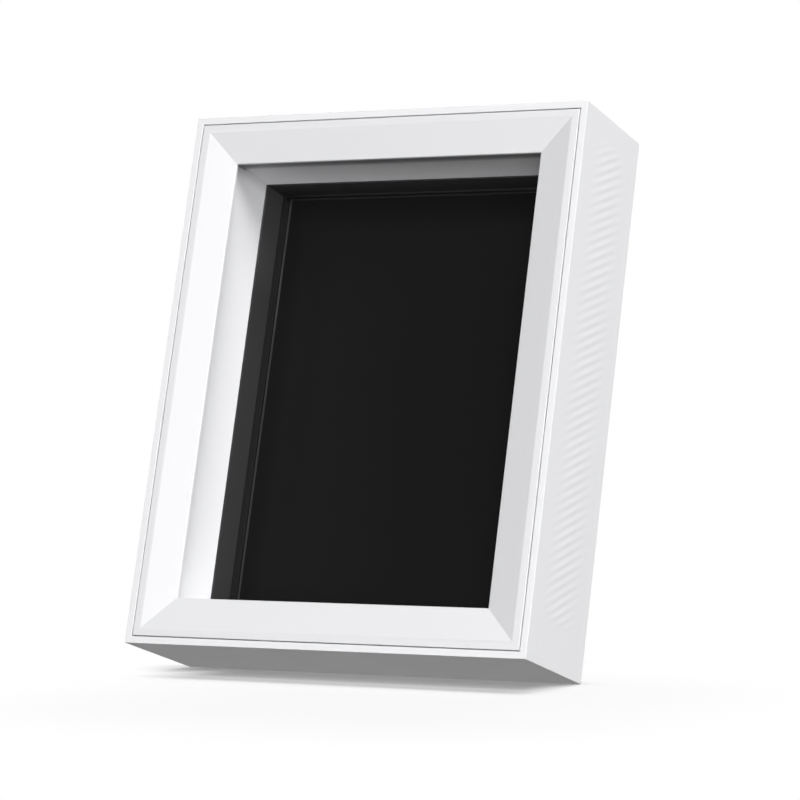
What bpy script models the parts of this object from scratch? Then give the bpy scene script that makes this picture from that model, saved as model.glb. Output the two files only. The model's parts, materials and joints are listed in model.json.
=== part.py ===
"""Holographic digital photo frame: a leaning shadow-box display on a fold-out kickstand.

Metres, +Z up, front facing -Y. Everything is laid out upright in frame axes (x across, y from the
front plane to the back, z up from the bottom face), and one empty leans it back onto its stand.
"""
from math import cos, pi, radians, sin, tan

import bmesh
import bpy
from mathutils import Matrix, Vector

MM = 0.001

# Fits between pieces
FIT = 0.3 * MM             # gap between two pieces that touch
RUN = 0.1 * MM             # radial gap of a turning or sliding fit
PAST = 2.0 * MM            # how far a cutter runs past the face it opens

# Screen window and its borders
WINDOW_W = 120.8 * MM
WINDOW_H = 160.9 * MM
LEDGE_SIDE = 1.7 * MM      # black ledge beside the window
LEDGE_TOP = 0.65 * MM
LEDGE_BOTTOM = 3.25 * MM
TUNNEL_DRAFT = 1.2 * MM    # how far the tunnel narrows behind the bezel lip

# Front bezel and housing
HOUSING_WALL = 2.6 * MM
SEAM = 0.35 * MM
RIM_FLAT = 2.95 * MM
BEVEL_WIDTH = 12.1 * MM
BEVEL_DEPTH = 3.0 * MM
LIP_THICK = 2.0 * MM
EDGE_ROUND = 0.9 * MM
LIP_UNDERCUT = 0.4 * MM    # white tunnel wall set back behind the bezel lip
SKIRT = 2.25 * MM
LEDGE_DEPTH = 8.0 * MM     # inner ledge of the housing that bezel and liner sit on
LEDGE_THICK = 2.0 * MM
LEDGE_REACH = 5.4 * MM
POST = 6.4 * MM            # corner posts of the housing

# Depth of the tunnel
WHITE_DEPTH = 25.0 * MM    # where the white tunnel wall ends
BLACK_DEPTH = 38.0 * MM    # where the black wall meets its ledge
TUNNEL_WALL = 1.8 * MM
STEP = 0.2 * MM            # black wall set in from the white one
LIP_DEPTH = 2.2 * MM       # thickness of the black ledge
FLANGE = 2.0 * MM

# Display stack, front to back
GASKET = 0.4 * MM
GASKET_WIDTH = 1.6 * MM
PANEL_MARGIN = 2.4 * MM    # glass beyond the window
LENS_THICK = 1.0 * MM
PANEL_THICK = 1.2 * MM
DIFFUSER_THICK = 0.4 * MM
GUIDE_THICK = 1.6 * MM
TRAY_WALL = 0.6 * MM
FLEX_WIDTH = 20.0 * MM
FLEX_THICK = 0.3 * MM

# Chassis, board and fasteners
CHASSIS_THICK = 1.0 * MM
BOSS_R = 2.5 * MM
BOSS_FROM_END = 20.0 * MM  # chassis bosses from the tray's ends
STANDOFF = 3.6 * MM
BOARD_THICK = 1.6 * MM
BOARD_H = 72.0 * MM
BOARD_LOW = 50.0 * MM      # lower edge of the board above the bottom face
BOARD_END = 6.5 * MM       # board edge to the hump wall
SCREW_R = 1.2 * MM
SMALL_R = 0.8 * MM
SMALL_HEAD = 1.8 * MM
HEAD_R = 2.5 * MM
HEAD_H = 1.4 * MM
SCREW_BITE = 8.0 * MM      # thread length in a corner post

# Rear cover and hump
COVER_FLANGE = 3.0 * MM
COVER_WALL = 2.0 * MM
HUMP_DEPTH = 18.5 * MM
HUMP_ROUND = 3.0 * MM
VENT_COUNT = 9
VENT_W = 2.2 * MM
VENT_H = 18.0 * MM
VENT_PITCH = 6.0 * MM

# Kickstand
LEAN = radians(15.0)
STAND_OPEN = radians(30.0)
HINGE_UP = 112.0 * MM      # hinge axis above the bottom face
LEG_THICK = 3.0 * MM
LEG_TOP_W = 40.8 * MM
LEG_FOOT_W = 34.0 * MM
HEEL = 5.0 * MM            # leg beyond the hinge, which stops on the pocket floor
BARREL_R = 2.6 * MM
PIN_R = 1.5 * MM
PIN_BITE = 6.0 * MM        # pin held in each pocket wall
WASHER = 1.2 * MM
PAD_LENGTH = 8.0 * MM
TONGUE = 4.0 * MM
TONGUE_THICK = 1.2 * MM
POCKET_WALL = 1.8 * MM

# Feet on the chamfered rear edge of the housing
FACET = 5.0 * MM
FOOT_PROUD = 0.5 * MM
FOOT_SUNK = 0.8 * MM
FOOT_LONG = 32.0 * MM
FOOT_WIDE = 3.4 * MM
FOOT_FROM_END = 33.3 * MM  # centre of each foot from the end of the housing

# Buttons and sockets
BUTTON_LONG = 9.0 * MM
BUTTON_WIDE = 4.0 * MM
BUTTON_PROUD = 0.8 * MM
BUTTON_LIP = 0.9 * MM
BUTTON_LIP_THICK = 1.0 * MM
BUTTON_PITCH = 16.0 * MM
BUTTON_UP = 36.0 * MM      # middle button above the lower edge of the board
BUTTON_TRAVEL = 0.6 * MM
POWER_R = 4.0 * MM
POWER_IN = 23.8 * MM       # power button in from the left wall of the hump
POWER_UP = 50.0 * MM       # and above the lower edge of the board
LIGHT_R = 1.1 * MM
LIGHT_ABOVE = 12.0 * MM    # status light above the power button
SWITCH = 6.0 * MM
SWITCH_THICK = 3.4 * MM
PLUNGER_R = 1.2 * MM
PLUNGER_OUT = 1.0 * MM
PLUNGER_IN = 1.8 * MM
USB_W = 8.94 * MM
USB_T = 3.26 * MM
USB_LONG = 7.35 * MM
USB_UP = 10.0 * MM         # sockets above the lower edge of the board
HDMI_W = 15.0 * MM
HDMI_T = 5.6 * MM
HDMI_LONG = 11.5 * MM
HDMI_UP = 28.5 * MM
SHELL = 0.4 * MM
SOCKET_IN = 1.3 * MM       # socket mouth behind the outer face of the hump
CHIP = 14.0 * MM
CHIP_THICK = 1.2 * MM
SINK = 26.0 * MM
SINK_BASE = 1.5 * MM
SINK_TALL = 4.4 * MM
SINK_SLOTS = 4
SINK_GAP = 2.7 * MM        # heat sink to the hinge block beside it
SCREW_GAP = 1.2 * MM       # and to the screws above it
SCREW_EDGE = 4.0 * MM      # board screws from the edges of the board
SCREW_SIDE = 13.0 * MM
MEMORY_W = 11.0 * MM
MEMORY_H = 9.0 * MM
MEMORY_THICK = 1.0 * MM
MEMORY_GAP = 11.5 * MM     # memory to the heat sink

# Overall sizes that follow from the window
TUNNEL_W = WINDOW_W + 2 * LEDGE_SIDE
TUNNEL_H = WINDOW_H + LEDGE_TOP + LEDGE_BOTTOM
LIP_INSET = HOUSING_WALL + SEAM + RIM_FLAT + BEVEL_WIDTH
BORDER = LIP_INSET + TUNNEL_DRAFT
FRAME_W = TUNNEL_W + 2 * BORDER
FRAME_H = TUNNEL_H + 2 * BORDER
WINDOW_LOW = BORDER + LEDGE_BOTTOM
WINDOW_MID = WINDOW_LOW + WINDOW_H / 2

# Depths from the front plane
LIP_BACK = BLACK_DEPTH + LIP_DEPTH
FLANGE_FRONT = LIP_BACK - FLANGE
GASKET_AT = LIP_BACK + FIT
LENS_AT = GASKET_AT + GASKET + FIT
PANEL_AT = LENS_AT + LENS_THICK + FIT
DIFFUSER_AT = PANEL_AT + PANEL_THICK + FIT
GUIDE_AT = DIFFUSER_AT + DIFFUSER_THICK + FIT
TRAY_AT = GUIDE_AT + GUIDE_THICK + FIT
TRAY_BACK = TRAY_AT + TRAY_WALL
CHASSIS_AT = TRAY_BACK + FIT
CHASSIS_BACK = CHASSIS_AT + CHASSIS_THICK
BOARD_AT = CHASSIS_BACK + STANDOFF + FIT
BOARD_BACK = BOARD_AT + BOARD_THICK
FRAME_D = TRAY_BACK + 0.2 * MM
COVER_AT = FRAME_D - COVER_FLANGE
HUMP_BACK = FRAME_D + HUMP_DEPTH
CAVITY_BACK = HUMP_BACK - COVER_WALL

# Half widths and ends of the display, the chassis and the hump
PANEL_HALF = WINDOW_W / 2 + PANEL_MARGIN
PANEL_TALL = WINDOW_H / 2 + PANEL_MARGIN
TRAY_HALF = PANEL_HALF + FIT + TRAY_WALL
TRAY_TALL = PANEL_TALL + FIT + TRAY_WALL
BOSS_X = TRAY_HALF + 0.4 * MM + BOSS_R
CAVITY_HALF = BOSS_X + BOSS_R + 0.7 * MM
HUMP_HALF = CAVITY_HALF + COVER_WALL
HUMP_INSET = FRAME_W / 2 - HUMP_HALF
HUMP_LOW = HUMP_INSET
HUMP_HIGH = FRAME_H - HUMP_INSET
CHASSIS_HALF = BOSS_X + BOSS_R - 0.1 * MM

# Hinge and floor, in frame axes
LEG_BACK = HUMP_BACK
LEG_FRONT = LEG_BACK - LEG_THICK
HINGE_AT = LEG_BACK - BARREL_R
RECESS_AT = LEG_FRONT - FIT
FACET_AT = FRAME_D - FACET
STAND_SLOPE = STAND_OPEN - LEAN
HINGE_HEIGHT = HINGE_UP * cos(LEAN) - (HINGE_AT - FACET_AT) * sin(LEAN) + FOOT_PROUD
HEEL_IN = (HINGE_AT - LEG_FRONT) * cos(STAND_OPEN) + HEEL * sin(STAND_OPEN)
HEEL_SWEEP = (BARREL_R ** 2 + HEEL ** 2) ** 0.5
POCKET_AT = HINGE_AT - max(HEEL_IN, BARREL_R) - FIT
POCKET_HALF = LEG_TOP_W / 2 + WASHER + 2 * FIT
PIN_HALF = POCKET_HALF + PIN_BITE
LEG_TAIL = HINGE_HEIGHT / cos(STAND_SLOPE)
BLOCK_HALF = PIN_HALF + POCKET_WALL + FIT

# Places on the board
BOARD_HIGH = BOARD_LOW + BOARD_H
SINK_X = BLOCK_HALF + SINK_GAP + SINK / 2
SINK_UP = BOARD_HIGH - SCREW_EDGE - SMALL_HEAD - SCREW_GAP - SINK / 2
MEMORY_X = SINK_X - SINK / 2 - MEMORY_GAP - MEMORY_W / 2
POWER_X = -CAVITY_HALF + POWER_IN
POWER_Z = BOARD_LOW + POWER_UP

# Where the leaning frame stands: bottom centre of its overall box at the origin
FRONT_REACH = EDGE_ROUND * (cos(LEAN) + sin(LEAN) - 1)
BACK_REACH = (HINGE_AT * cos(LEAN) + HINGE_UP * sin(LEAN) + HINGE_HEIGHT * tan(STAND_SLOPE)
              + (LEG_BACK - HINGE_AT) / cos(STAND_SLOPE))
LEAN_Y = -(FRONT_REACH + BACK_REACH) / 2
LEAN_Z = FOOT_PROUD + FACET_AT * sin(LEAN)

ROUND = 20                 # sides of small round shapes


for old in list(bpy.data.objects):
    bpy.data.objects.remove(old, do_unlink=True)

parts = bpy.data.collections.new("holographic_photo_frame")
tools = bpy.data.collections.new("cutters")
bpy.context.scene.collection.children.link(parts)
bpy.context.scene.collection.children.link(tools)


def finish(name, colour, roughness, metallic=0.0, alpha=1.0):
    """One Principled material."""
    material = bpy.data.materials.new(name)
    material.use_nodes = True
    shader = material.node_tree.nodes["Principled BSDF"]
    shader.inputs["Base Color"].default_value = (*colour, 1.0)
    shader.inputs["Roughness"].default_value = roughness
    shader.inputs["Metallic"].default_value = metallic
    shader.inputs["Alpha"].default_value = alpha
    material.diffuse_color = (*colour, alpha)
    return material


WHITE = finish("white_plastic", (0.83, 0.83, 0.82), 0.45)
BACK_WHITE = finish("rear_plastic", (0.80, 0.80, 0.80), 0.55)
BLACK = finish("black_plastic", (0.012, 0.012, 0.013), 0.25)
FOAM = finish("foam_gasket", (0.02, 0.02, 0.02), 0.95)
LENS = finish("lens_acrylic", (0.01, 0.011, 0.013), 0.08)
GLASS = finish("panel_glass", (0.008, 0.009, 0.012), 0.05)
SHEET = finish("diffuser_film", (0.9, 0.9, 0.9), 0.7)
ACRYLIC = finish("guide_acrylic", (0.85, 0.88, 0.9), 0.1)
STEEL = finish("zinc_steel", (0.55, 0.56, 0.57), 0.35, 1.0)
ALLOY = finish("alloy_plate", (0.72, 0.73, 0.74), 0.4, 1.0)
BOARD = finish("green_board", (0.02, 0.16, 0.06), 0.5)
CHIPS = finish("chip_epoxy", (0.02, 0.02, 0.022), 0.6)
KAPTON = finish("flex_film", (0.55, 0.25, 0.04), 0.4)
KEY = finish("button_plastic", (0.62, 0.63, 0.64), 0.5)
PIPE = finish("light_pipe", (0.9, 0.95, 1.0), 0.1)
RUBBER = finish("grey_rubber", (0.10, 0.10, 0.10), 0.9)

lean_axis = bpy.data.objects.new("lean_axis", None)
lean_axis.rotation_euler = (-LEAN, 0.0, 0.0)
lean_axis.location = (0.0, LEAN_Y, LEAN_Z)
parts.objects.link(lean_axis)

stand_axis = bpy.data.objects.new("stand_axis", None)
stand_axis.parent = lean_axis
stand_axis.location = (0.0, HINGE_AT, HINGE_UP)
stand_axis.rotation_euler = (STAND_OPEN, 0.0, 0.0)
parts.objects.link(stand_axis)


def place(name, mesh, centre, material, parent=lean_axis):
    """A new object: a piece with a material, or a hidden cutter without one."""
    thing = bpy.data.objects.new(name, mesh)
    thing.parent = parent
    thing.location = centre
    if material is None:
        tools.objects.link(thing)
        thing.hide_render = True
        thing.display_type = "WIRE"
    else:
        mesh.materials.append(material)
        parts.objects.link(thing)
    return thing


def mesh_from(shape, name):
    mesh = bpy.data.meshes.new(name)
    shape.to_mesh(mesh)
    shape.free()
    return mesh


def block(name, x, y, z, material=None, parent=lean_axis, rounding=0.0, steps=2):
    """A box from its ends along x, y and z, with rounded edges if asked for."""
    low = Vector((x[0], y[0], z[0]))
    high = Vector((x[1], y[1], z[1]))
    shape = bmesh.new()
    bmesh.ops.create_cube(shape, size=1.0, matrix=Matrix.Diagonal((*(high - low), 1.0)))
    thing = place(name, mesh_from(shape, name), (low + high) / 2, material, parent)
    if rounding:
        soft = thing.modifiers.new("rounding", "BEVEL")
        soft.width = rounding
        soft.segments = steps
        soft.limit_method = "ANGLE"
    return thing


def tapered(name, front, back, material=None):
    """A box whose front and back faces differ; each is (half width, low, high, depth)."""
    shape = bmesh.new()
    bmesh.ops.create_cube(shape, size=2.0)
    for vert in shape.verts:
        half, low, high, depth = front if vert.co.y < 0 else back
        vert.co = (half * vert.co.x, depth, high if vert.co.z > 0 else low)
    return place(name, mesh_from(shape, name), (0, 0, 0), material)


def rod(name, radius, start, end, material=None, parent=lean_axis, sides=ROUND, cap=None):
    """A round bar between two points; cap is the far radius of a taper."""
    start = Vector(start)
    end = Vector(end)
    along = end - start
    turn = along.to_track_quat("Z", "Y").to_matrix().to_4x4()
    shape = bmesh.new()
    bmesh.ops.create_cone(shape, cap_ends=True, segments=sides, radius1=radius,
                          radius2=radius if cap is None else cap, depth=along.length, matrix=turn)
    return place(name, mesh_from(shape, name), (start + end) / 2, material, parent)


def outline(name, points, thick, facing, centre, material, parent=lean_axis):
    """A flat outline given thickness. facing 'x' draws in y and z, 'y' draws in x and z."""
    curve = bpy.data.curves.new(name, "CURVE")
    curve.dimensions = "2D"
    curve.fill_mode = "BOTH"
    curve.extrude = thick / 2
    spline = curve.splines.new("POLY")
    spline.points.add(len(points) - 1)
    for point, (across, up) in zip(spline.points, points):
        point.co = (across, up, 0.0, 1.0)
    spline.use_cyclic_u = True
    drawn = bpy.data.objects.new(name + "_outline", curve)
    bpy.context.scene.collection.objects.link(drawn)
    bpy.context.view_layer.update()
    seen = drawn.evaluated_get(bpy.context.evaluated_depsgraph_get())
    mesh = bpy.data.meshes.new_from_object(seen)
    bpy.data.objects.remove(drawn, do_unlink=True)
    turn = Matrix.Rotation(pi / 2, 4, "X")
    if facing == "x":
        turn = Matrix.Rotation(pi / 2, 4, "Z") @ turn
    shape = bmesh.new()
    shape.from_mesh(mesh)
    bmesh.ops.remove_doubles(shape, verts=shape.verts, dist=1e-6)
    bmesh.ops.transform(shape, matrix=turn, verts=shape.verts)
    bmesh.ops.recalc_face_normals(shape, faces=shape.faces)
    bpy.data.meshes.remove(mesh)
    return place(name, mesh_from(shape, name), centre, material, parent)


def boolean(target, others, operation):
    for other in others:
        step = target.modifiers.new(operation.lower() + "_" + other.name, "BOOLEAN")
        step.operation = operation
        step.object = other


def cut(target, *cutters):
    boolean(target, cutters, "DIFFERENCE")


def join(target, *additions):
    boolean(target, additions, "UNION")


def inset(depth):
    """Half width, low and high of the frame's outline, drawn in by a border."""
    return FRAME_W / 2 - depth, depth, FRAME_H - depth


def ring(name, outer, inner, y, material=None):
    """A rectangular band between two borders over a range of depths."""
    half, low, high = inset(outer)
    band = block(name, (-half, half), y, (low, high), material)
    half, low, high = inset(inner)
    hole = block(name + "_hole", (-half, half), (y[0] - PAST, y[1] + PAST), (low, high))
    cut(band, hole)
    return band


def corners(depth):
    """The four corner points of the frame's outline, drawn in by a border."""
    half, low, high = inset(depth)
    return [(-half, low), (half, low), (half, high), (-half, high)]


# Housing: a sleeve with an inner ledge, corner posts and a chamfered rear edge to stand on
half_w = FRAME_W / 2
housing = block("housing", (-half_w, half_w), (0, FRAME_D), (0, FRAME_H), WHITE, rounding=EDGE_ROUND)
half, low, high = inset(HOUSING_WALL)
front_pocket = block("front_pocket", (-half, half), (-PAST, LEDGE_DEPTH), (low, high))
ledge_back = LEDGE_DEPTH + LEDGE_THICK
rear_pocket = block("rear_pocket", (-half, half), (ledge_back, FRAME_D + PAST), (low, high))
half, low, high = inset(HOUSING_WALL + LEDGE_REACH)
ledge_hole = block("ledge_hole", (-half, half), (0, FRAME_D), (low, high))
cut(housing, front_pocket, rear_pocket, ledge_hole)

post_in = HOUSING_WALL + POST / 2
post_end = FLANGE_FRONT - FIT
for number, (x, z) in enumerate(corners(post_in), 1):
    reach = POST / 2 + 0.1 * MM
    post = block(f"post_{number}", (x - reach, x + reach), (ledge_back - 0.1 * MM, post_end),
                 (z - reach, z + reach))
    pilot = rod(f"pilot_{number}", SCREW_R + RUN, (x, post_end - SCREW_BITE - PAST, z), (x, FRAME_D, z))
    join(housing, post)
    cut(housing, pilot)

facet = block("facet", (-FRAME_W, FRAME_W), (-PAST, 4 * FACET), (-4 * FACET, 0))
facet.location = (0, FACET_AT, 0)
facet.data.transform(Matrix.Translation((0, 2 * FACET - PAST / 2, -2 * FACET)))
facet.rotation_euler = (LEAN, 0, 0)
cut(housing, facet)

# Rubber feet set into the chamfer, their soles on the floor
foot_axis = bpy.data.objects.new("foot_axis", None)
foot_axis.parent = lean_axis
foot_axis.location = (0, FACET_AT, 0)
foot_axis.rotation_euler = (LEAN, 0, 0)
parts.objects.link(foot_axis)
foot_mid = FACET / cos(LEAN) / 2
for side, word in ((-1, "left"), (1, "right")):
    x = side * (FRAME_W / 2 - FOOT_FROM_END)
    block(f"foot_pad_{word}", (x - FOOT_LONG / 2, x + FOOT_LONG / 2),
          (foot_mid - FOOT_WIDE / 2, foot_mid + FOOT_WIDE / 2),
          (-FOOT_PROUD, FOOT_SUNK - FIT), RUBBER, foot_axis)
    room = block(f"foot_room_{word}", (x - FOOT_LONG / 2 - FIT, x + FOOT_LONG / 2 + FIT),
                 (foot_mid - FOOT_WIDE / 2 - FIT, foot_mid + FOOT_WIDE / 2 + FIT),
                 (-PAST, FOOT_SUNK), None, foot_axis)
    cut(housing, room)

# Front bezel: flat rim, mitred bevel and lip, with a skirt that sits on the housing ledge
bezel_in = HOUSING_WALL + SEAM
bezel_back = BEVEL_DEPTH + LIP_THICK
skirt_end = LEDGE_DEPTH - FIT
half, low, high = inset(bezel_in)
bezel = block("front_bezel", (-half, half), (0, skirt_end), (low, high), WHITE)
half, low, high = inset(LIP_INSET)
cut(bezel, block("lip_hole", (-half, half), (-PAST, LEDGE_DEPTH), (low, high)))
slope = BEVEL_WIDTH / BEVEL_DEPTH
rim_in = bezel_in + RIM_FLAT
cut(bezel, tapered("bevel_cut", (*inset(rim_in - slope * BEVEL_DEPTH / 2), -BEVEL_DEPTH / 2),
                   (*inset(LIP_INSET), BEVEL_DEPTH)))
half, low, high = inset(bezel_in + SKIRT)
cut(bezel, block("skirt_room", (-half, half), (bezel_back, LEDGE_DEPTH), (low, high)))

# White tunnel wall, with a front flange on the housing ledge
liner_at = bezel_back + FIT
liner_front_in = LIP_INSET - LIP_UNDERCUT
liner_back_in = BORDER - STEP
half, low, high = inset(liner_front_in - TUNNEL_WALL)
half_b, low_b, high_b = inset(liner_back_in - TUNNEL_WALL)
liner = tapered("shadow_liner", (half, low, high, liner_at), (half_b, low_b, high_b, WHITE_DEPTH), WHITE)
half, low, high = inset(bezel_in + SKIRT + FIT)
flange_front = skirt_end - 1.5 * MM
join(liner, block("liner_flange", (-half, half), (flange_front, skirt_end), (low, high)))
per_depth = (liner_back_in - liner_front_in) / (WHITE_DEPTH - liner_at)
spare = per_depth * PAST
cut(liner, tapered("liner_hole", (*inset(liner_front_in - spare), liner_at - PAST),
                   (*inset(liner_back_in + spare), WHITE_DEPTH + PAST)))

# Black surround: tunnel wall, ledge round the window, flange clamped on the housing posts
black_at = WHITE_DEPTH + FIT
half, low, high = inset(BORDER - TUNNEL_WALL)
surround = block("screen_surround", (-half, half), (black_at, LIP_BACK), (low, high), BLACK)
half, low, high = inset(bezel_in)
join(surround, block("surround_flange", (-half, half), (FLANGE_FRONT, LIP_BACK), (low, high)))
half, low, high = inset(BORDER)
cut(surround, block("black_hole", (-half, half), (black_at - PAST, BLACK_DEPTH), (low, high)))
window_high = WINDOW_LOW + WINDOW_H
cut(surround, block("window_hole", (-WINDOW_W / 2, WINDOW_W / 2), (black_at, LIP_BACK + PAST),
                    (WINDOW_LOW, window_high)))
boss_end = CHASSIS_AT - FIT
boss_places = []
for x in (-BOSS_X, BOSS_X):
    for z in (WINDOW_MID - TRAY_TALL + BOSS_FROM_END, WINDOW_MID + TRAY_TALL - BOSS_FROM_END):
        boss_places.append((x, z))
for number, (x, z) in enumerate(boss_places, 1):
    join(surround, rod(f"boss_{number}", BOSS_R, (x, LIP_BACK - FIT, z), (x, boss_end, z)))
    cut(surround, rod(f"boss_pilot_{number}", SMALL_R + RUN, (x, LIP_BACK, z), (x, boss_end + PAST, z)))
for number, (x, z) in enumerate(corners(post_in), 1):
    cut(surround, rod(f"flange_hole_{number}", SCREW_R + FIT, (x, FLANGE_FRONT - PAST, z),
                      (x, LIP_BACK + PAST, z)))


def sheet(name, margin, at, thick, material):
    """A flat rectangle of the display stack, a margin beyond the window."""
    return block(name, (-WINDOW_W / 2 - margin, WINDOW_W / 2 + margin), (at, at + thick),
                 (WINDOW_LOW - margin, window_high + margin), material)


gasket = sheet("display_gasket", GASKET_WIDTH + FIT, GASKET_AT, GASKET, FOAM)
cut(gasket, sheet("gasket_hole", FIT, GASKET_AT - PAST, GASKET + 2 * PAST, None))
sheet("lens_array", PANEL_MARGIN, LENS_AT, LENS_THICK, LENS)
sheet("lcd_panel", PANEL_MARGIN, PANEL_AT, PANEL_THICK, GLASS)
sheet("diffuser_sheet", PANEL_MARGIN, DIFFUSER_AT, DIFFUSER_THICK, SHEET)
sheet("light_guide", PANEL_MARGIN, GUIDE_AT, GUIDE_THICK, ACRYLIC)
tray_margin = PANEL_MARGIN + FIT + TRAY_WALL
tray = sheet("backlight_tray", tray_margin, LENS_AT, TRAY_BACK - LENS_AT, STEEL)
cut(tray, sheet("tray_room", PANEL_MARGIN + FIT, LENS_AT - PAST, TRAY_AT - LENS_AT + PAST, None))
tray_low = WINDOW_MID - TRAY_TALL
cut(tray, block("flex_notch", (-FLEX_WIDTH / 2 - 1 * MM, FLEX_WIDTH / 2 + 1 * MM), (LENS_AT - PAST, TRAY_AT),
                (tray_low - PAST, tray_low + TRAY_WALL + FIT)))

# Chassis plate screwed to the surround, with standoffs for the board
chassis_low = WINDOW_MID - TRAY_TALL + BOSS_FROM_END - 10 * MM
chassis_high = WINDOW_MID + TRAY_TALL - BOSS_FROM_END + 10 * MM
chassis = block("chassis_plate", (-CHASSIS_HALF, CHASSIS_HALF), (CHASSIS_AT, CHASSIS_BACK),
                (chassis_low, chassis_high), ALLOY)
board_left = -CAVITY_HALF + BOARD_END
board_right = CAVITY_HALF - BOARD_END
board_places = []
for x in (board_left + SCREW_SIDE, board_right - SCREW_SIDE):
    for z in (BOARD_LOW + SCREW_EDGE, BOARD_HIGH - SCREW_EDGE):
        board_places.append((x, z))
standoff_end = CHASSIS_BACK + STANDOFF
for number, (x, z) in enumerate(board_places, 1):
    join(chassis, rod(f"standoff_{number}", BOSS_R, (x, CHASSIS_BACK - FIT, z), (x, standoff_end, z)))
    cut(chassis, rod(f"standoff_pilot_{number}", SMALL_R + RUN, (x, CHASSIS_AT - PAST, z),
                     (x, standoff_end + PAST, z)))
for number, (x, z) in enumerate(boss_places, 1):
    cut(chassis, rod(f"chassis_hole_{number}", SMALL_R + FIT, (x, CHASSIS_AT - PAST, z),
                     (x, CHASSIS_BACK + PAST, z)))


def screw(name, radius, head_radius, head_high, x, z, seat, tip):
    """A pan-head screw driven towards the front, its head on a seat, with a cross slot."""
    top = seat + head_high
    piece = rod(name, head_radius, (x, seat, z), (x, top, z), STEEL, cap=head_radius * 0.8)
    join(piece, rod(name + "_shank", radius, (x, tip, z), (x, seat + head_high / 2, z)))
    arm = head_radius * 0.55
    slot = head_radius * 0.13
    deep = (top - head_high * 0.6, top + PAST)
    cut(piece, block(name + "_slot_a", (x - arm, x + arm), deep, (z - slot, z + slot)))
    cut(piece, block(name + "_slot_b", (x - slot, x + slot), deep, (z - arm, z + arm)))
    return piece


for number, (x, z) in enumerate(boss_places, 1):
    screw(f"chassis_screw_{number}", SMALL_R, SMALL_HEAD, HEAD_H, x, z, CHASSIS_BACK + FIT, LIP_BACK + 1 * MM)

# Main board and what stands on it
board = block("main_board", (board_left, board_right), (BOARD_AT, BOARD_BACK), (BOARD_LOW, BOARD_HIGH), BOARD)
for number, (x, z) in enumerate(board_places, 1):
    cut(board, rod(f"board_hole_{number}", SMALL_R + FIT, (x, BOARD_AT - PAST, z), (x, BOARD_BACK + PAST, z)))
    screw(f"board_screw_{number}", SMALL_R, SMALL_HEAD, HEAD_H, x, z, BOARD_BACK + FIT, CHASSIS_AT + FIT)
on_board = BOARD_BACK + FIT


def chip(name, x, z, wide, tall, thick, material):
    return block(name, (x - wide / 2, x + wide / 2), (on_board, on_board + thick),
                 (z - tall / 2, z + tall / 2), material)


chip("processor_chip", SINK_X, SINK_UP, CHIP, CHIP, CHIP_THICK, CHIPS)
for number, z in enumerate((SINK_UP - MEMORY_H, SINK_UP + MEMORY_H), 1):
    chip(f"memory_chip_{number}", MEMORY_X, z, MEMORY_W, MEMORY_H, MEMORY_THICK, CHIPS)
sink_at = on_board + CHIP_THICK + FIT
sink_top = sink_at + SINK_TALL
sink = block("heat_sink", (SINK_X - SINK / 2, SINK_X + SINK / 2), (sink_at, sink_top),
             (SINK_UP - SINK / 2, SINK_UP + SINK / 2), ALLOY)
slot_pitch = SINK / (SINK_SLOTS + 1)
for number in range(SINK_SLOTS):
    x = SINK_X - SINK / 2 + slot_pitch * (number + 1)
    cut(sink, block(f"sink_slot_{number + 1}", (x - slot_pitch * 0.3, x + slot_pitch * 0.3),
                    (sink_at + SINK_BASE, sink_top + PAST), (SINK_UP - SINK, SINK_UP + SINK)))

# Flex ribbon from the foot of the panel, under the chassis and up to its connector on the board
plug_low = BOARD_LOW + 2 * MM
plug_front = BOARD_AT - FIT - 1.2 * MM
block("display_connector", (-FLEX_WIDTH / 2 - 1 * MM, FLEX_WIDTH / 2 + 1 * MM), (plug_front, BOARD_AT - FIT),
      (plug_low, plug_low + 4 * MM), CHIPS)
panel_low = WINDOW_LOW - PANEL_MARGIN
flex_in = PANEL_AT + PANEL_THICK / 2
flex_out = (plug_front + BOARD_AT) / 2
flex_dip = tray_low - 3.2 * MM
flex_path = [(flex_in, panel_low - FIT), (flex_in, tray_low - 1.2 * MM), (flex_in + 1.4 * MM, flex_dip),
             (flex_out - 1.6 * MM, flex_dip), (flex_out, flex_dip + 2.2 * MM), (flex_out, plug_low - FIT)]
ribbon = bmesh.new()
left_edge = [ribbon.verts.new((-FLEX_WIDTH / 2, y, z)) for y, z in flex_path]
right_edge = [ribbon.verts.new((FLEX_WIDTH / 2, y, z)) for y, z in flex_path]
for start in range(len(flex_path) - 1):
    ribbon.faces.new((left_edge[start], right_edge[start], right_edge[start + 1], left_edge[start + 1]))
flex = place("display_flex", mesh_from(ribbon, "display_flex"), (0, 0, 0), KAPTON)
film = flex.modifiers.new("film", "SOLIDIFY")
film.thickness = FLEX_THICK
film.offset = 0.0

# Rear cover: flange inside the sleeve, hollow hump, kickstand recess with a hinge pocket
half, low, high = inset(HOUSING_WALL + FIT)
cover = block("rear_cover", (-half, half), (COVER_AT, FRAME_D), (low, high), BACK_WHITE)
join(cover, block("hump", (-HUMP_HALF, HUMP_HALF), (COVER_AT, HUMP_BACK), (HUMP_LOW, HUMP_HIGH),
                  rounding=HUMP_ROUND, steps=3))
cavity_low = HUMP_LOW + COVER_WALL
cavity_high = HUMP_HIGH - COVER_WALL
cut(cover, block("cavity", (-CAVITY_HALF, CAVITY_HALF), (COVER_AT - PAST, CAVITY_BACK),
                 (cavity_low, cavity_high)))
recess_half = POCKET_HALF
recess_top = HINGE_UP + HEEL_SWEEP + FIT
pocket_low = HINGE_UP - BARREL_R - 2 * FIT
backing = RECESS_AT - POCKET_WALL
outer_half = recess_half + POCKET_WALL
join(cover, block("recess_backing", (-outer_half, outer_half), (backing, CAVITY_BACK + FIT),
                  (cavity_low - FIT, recess_top + POCKET_WALL)))
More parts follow.
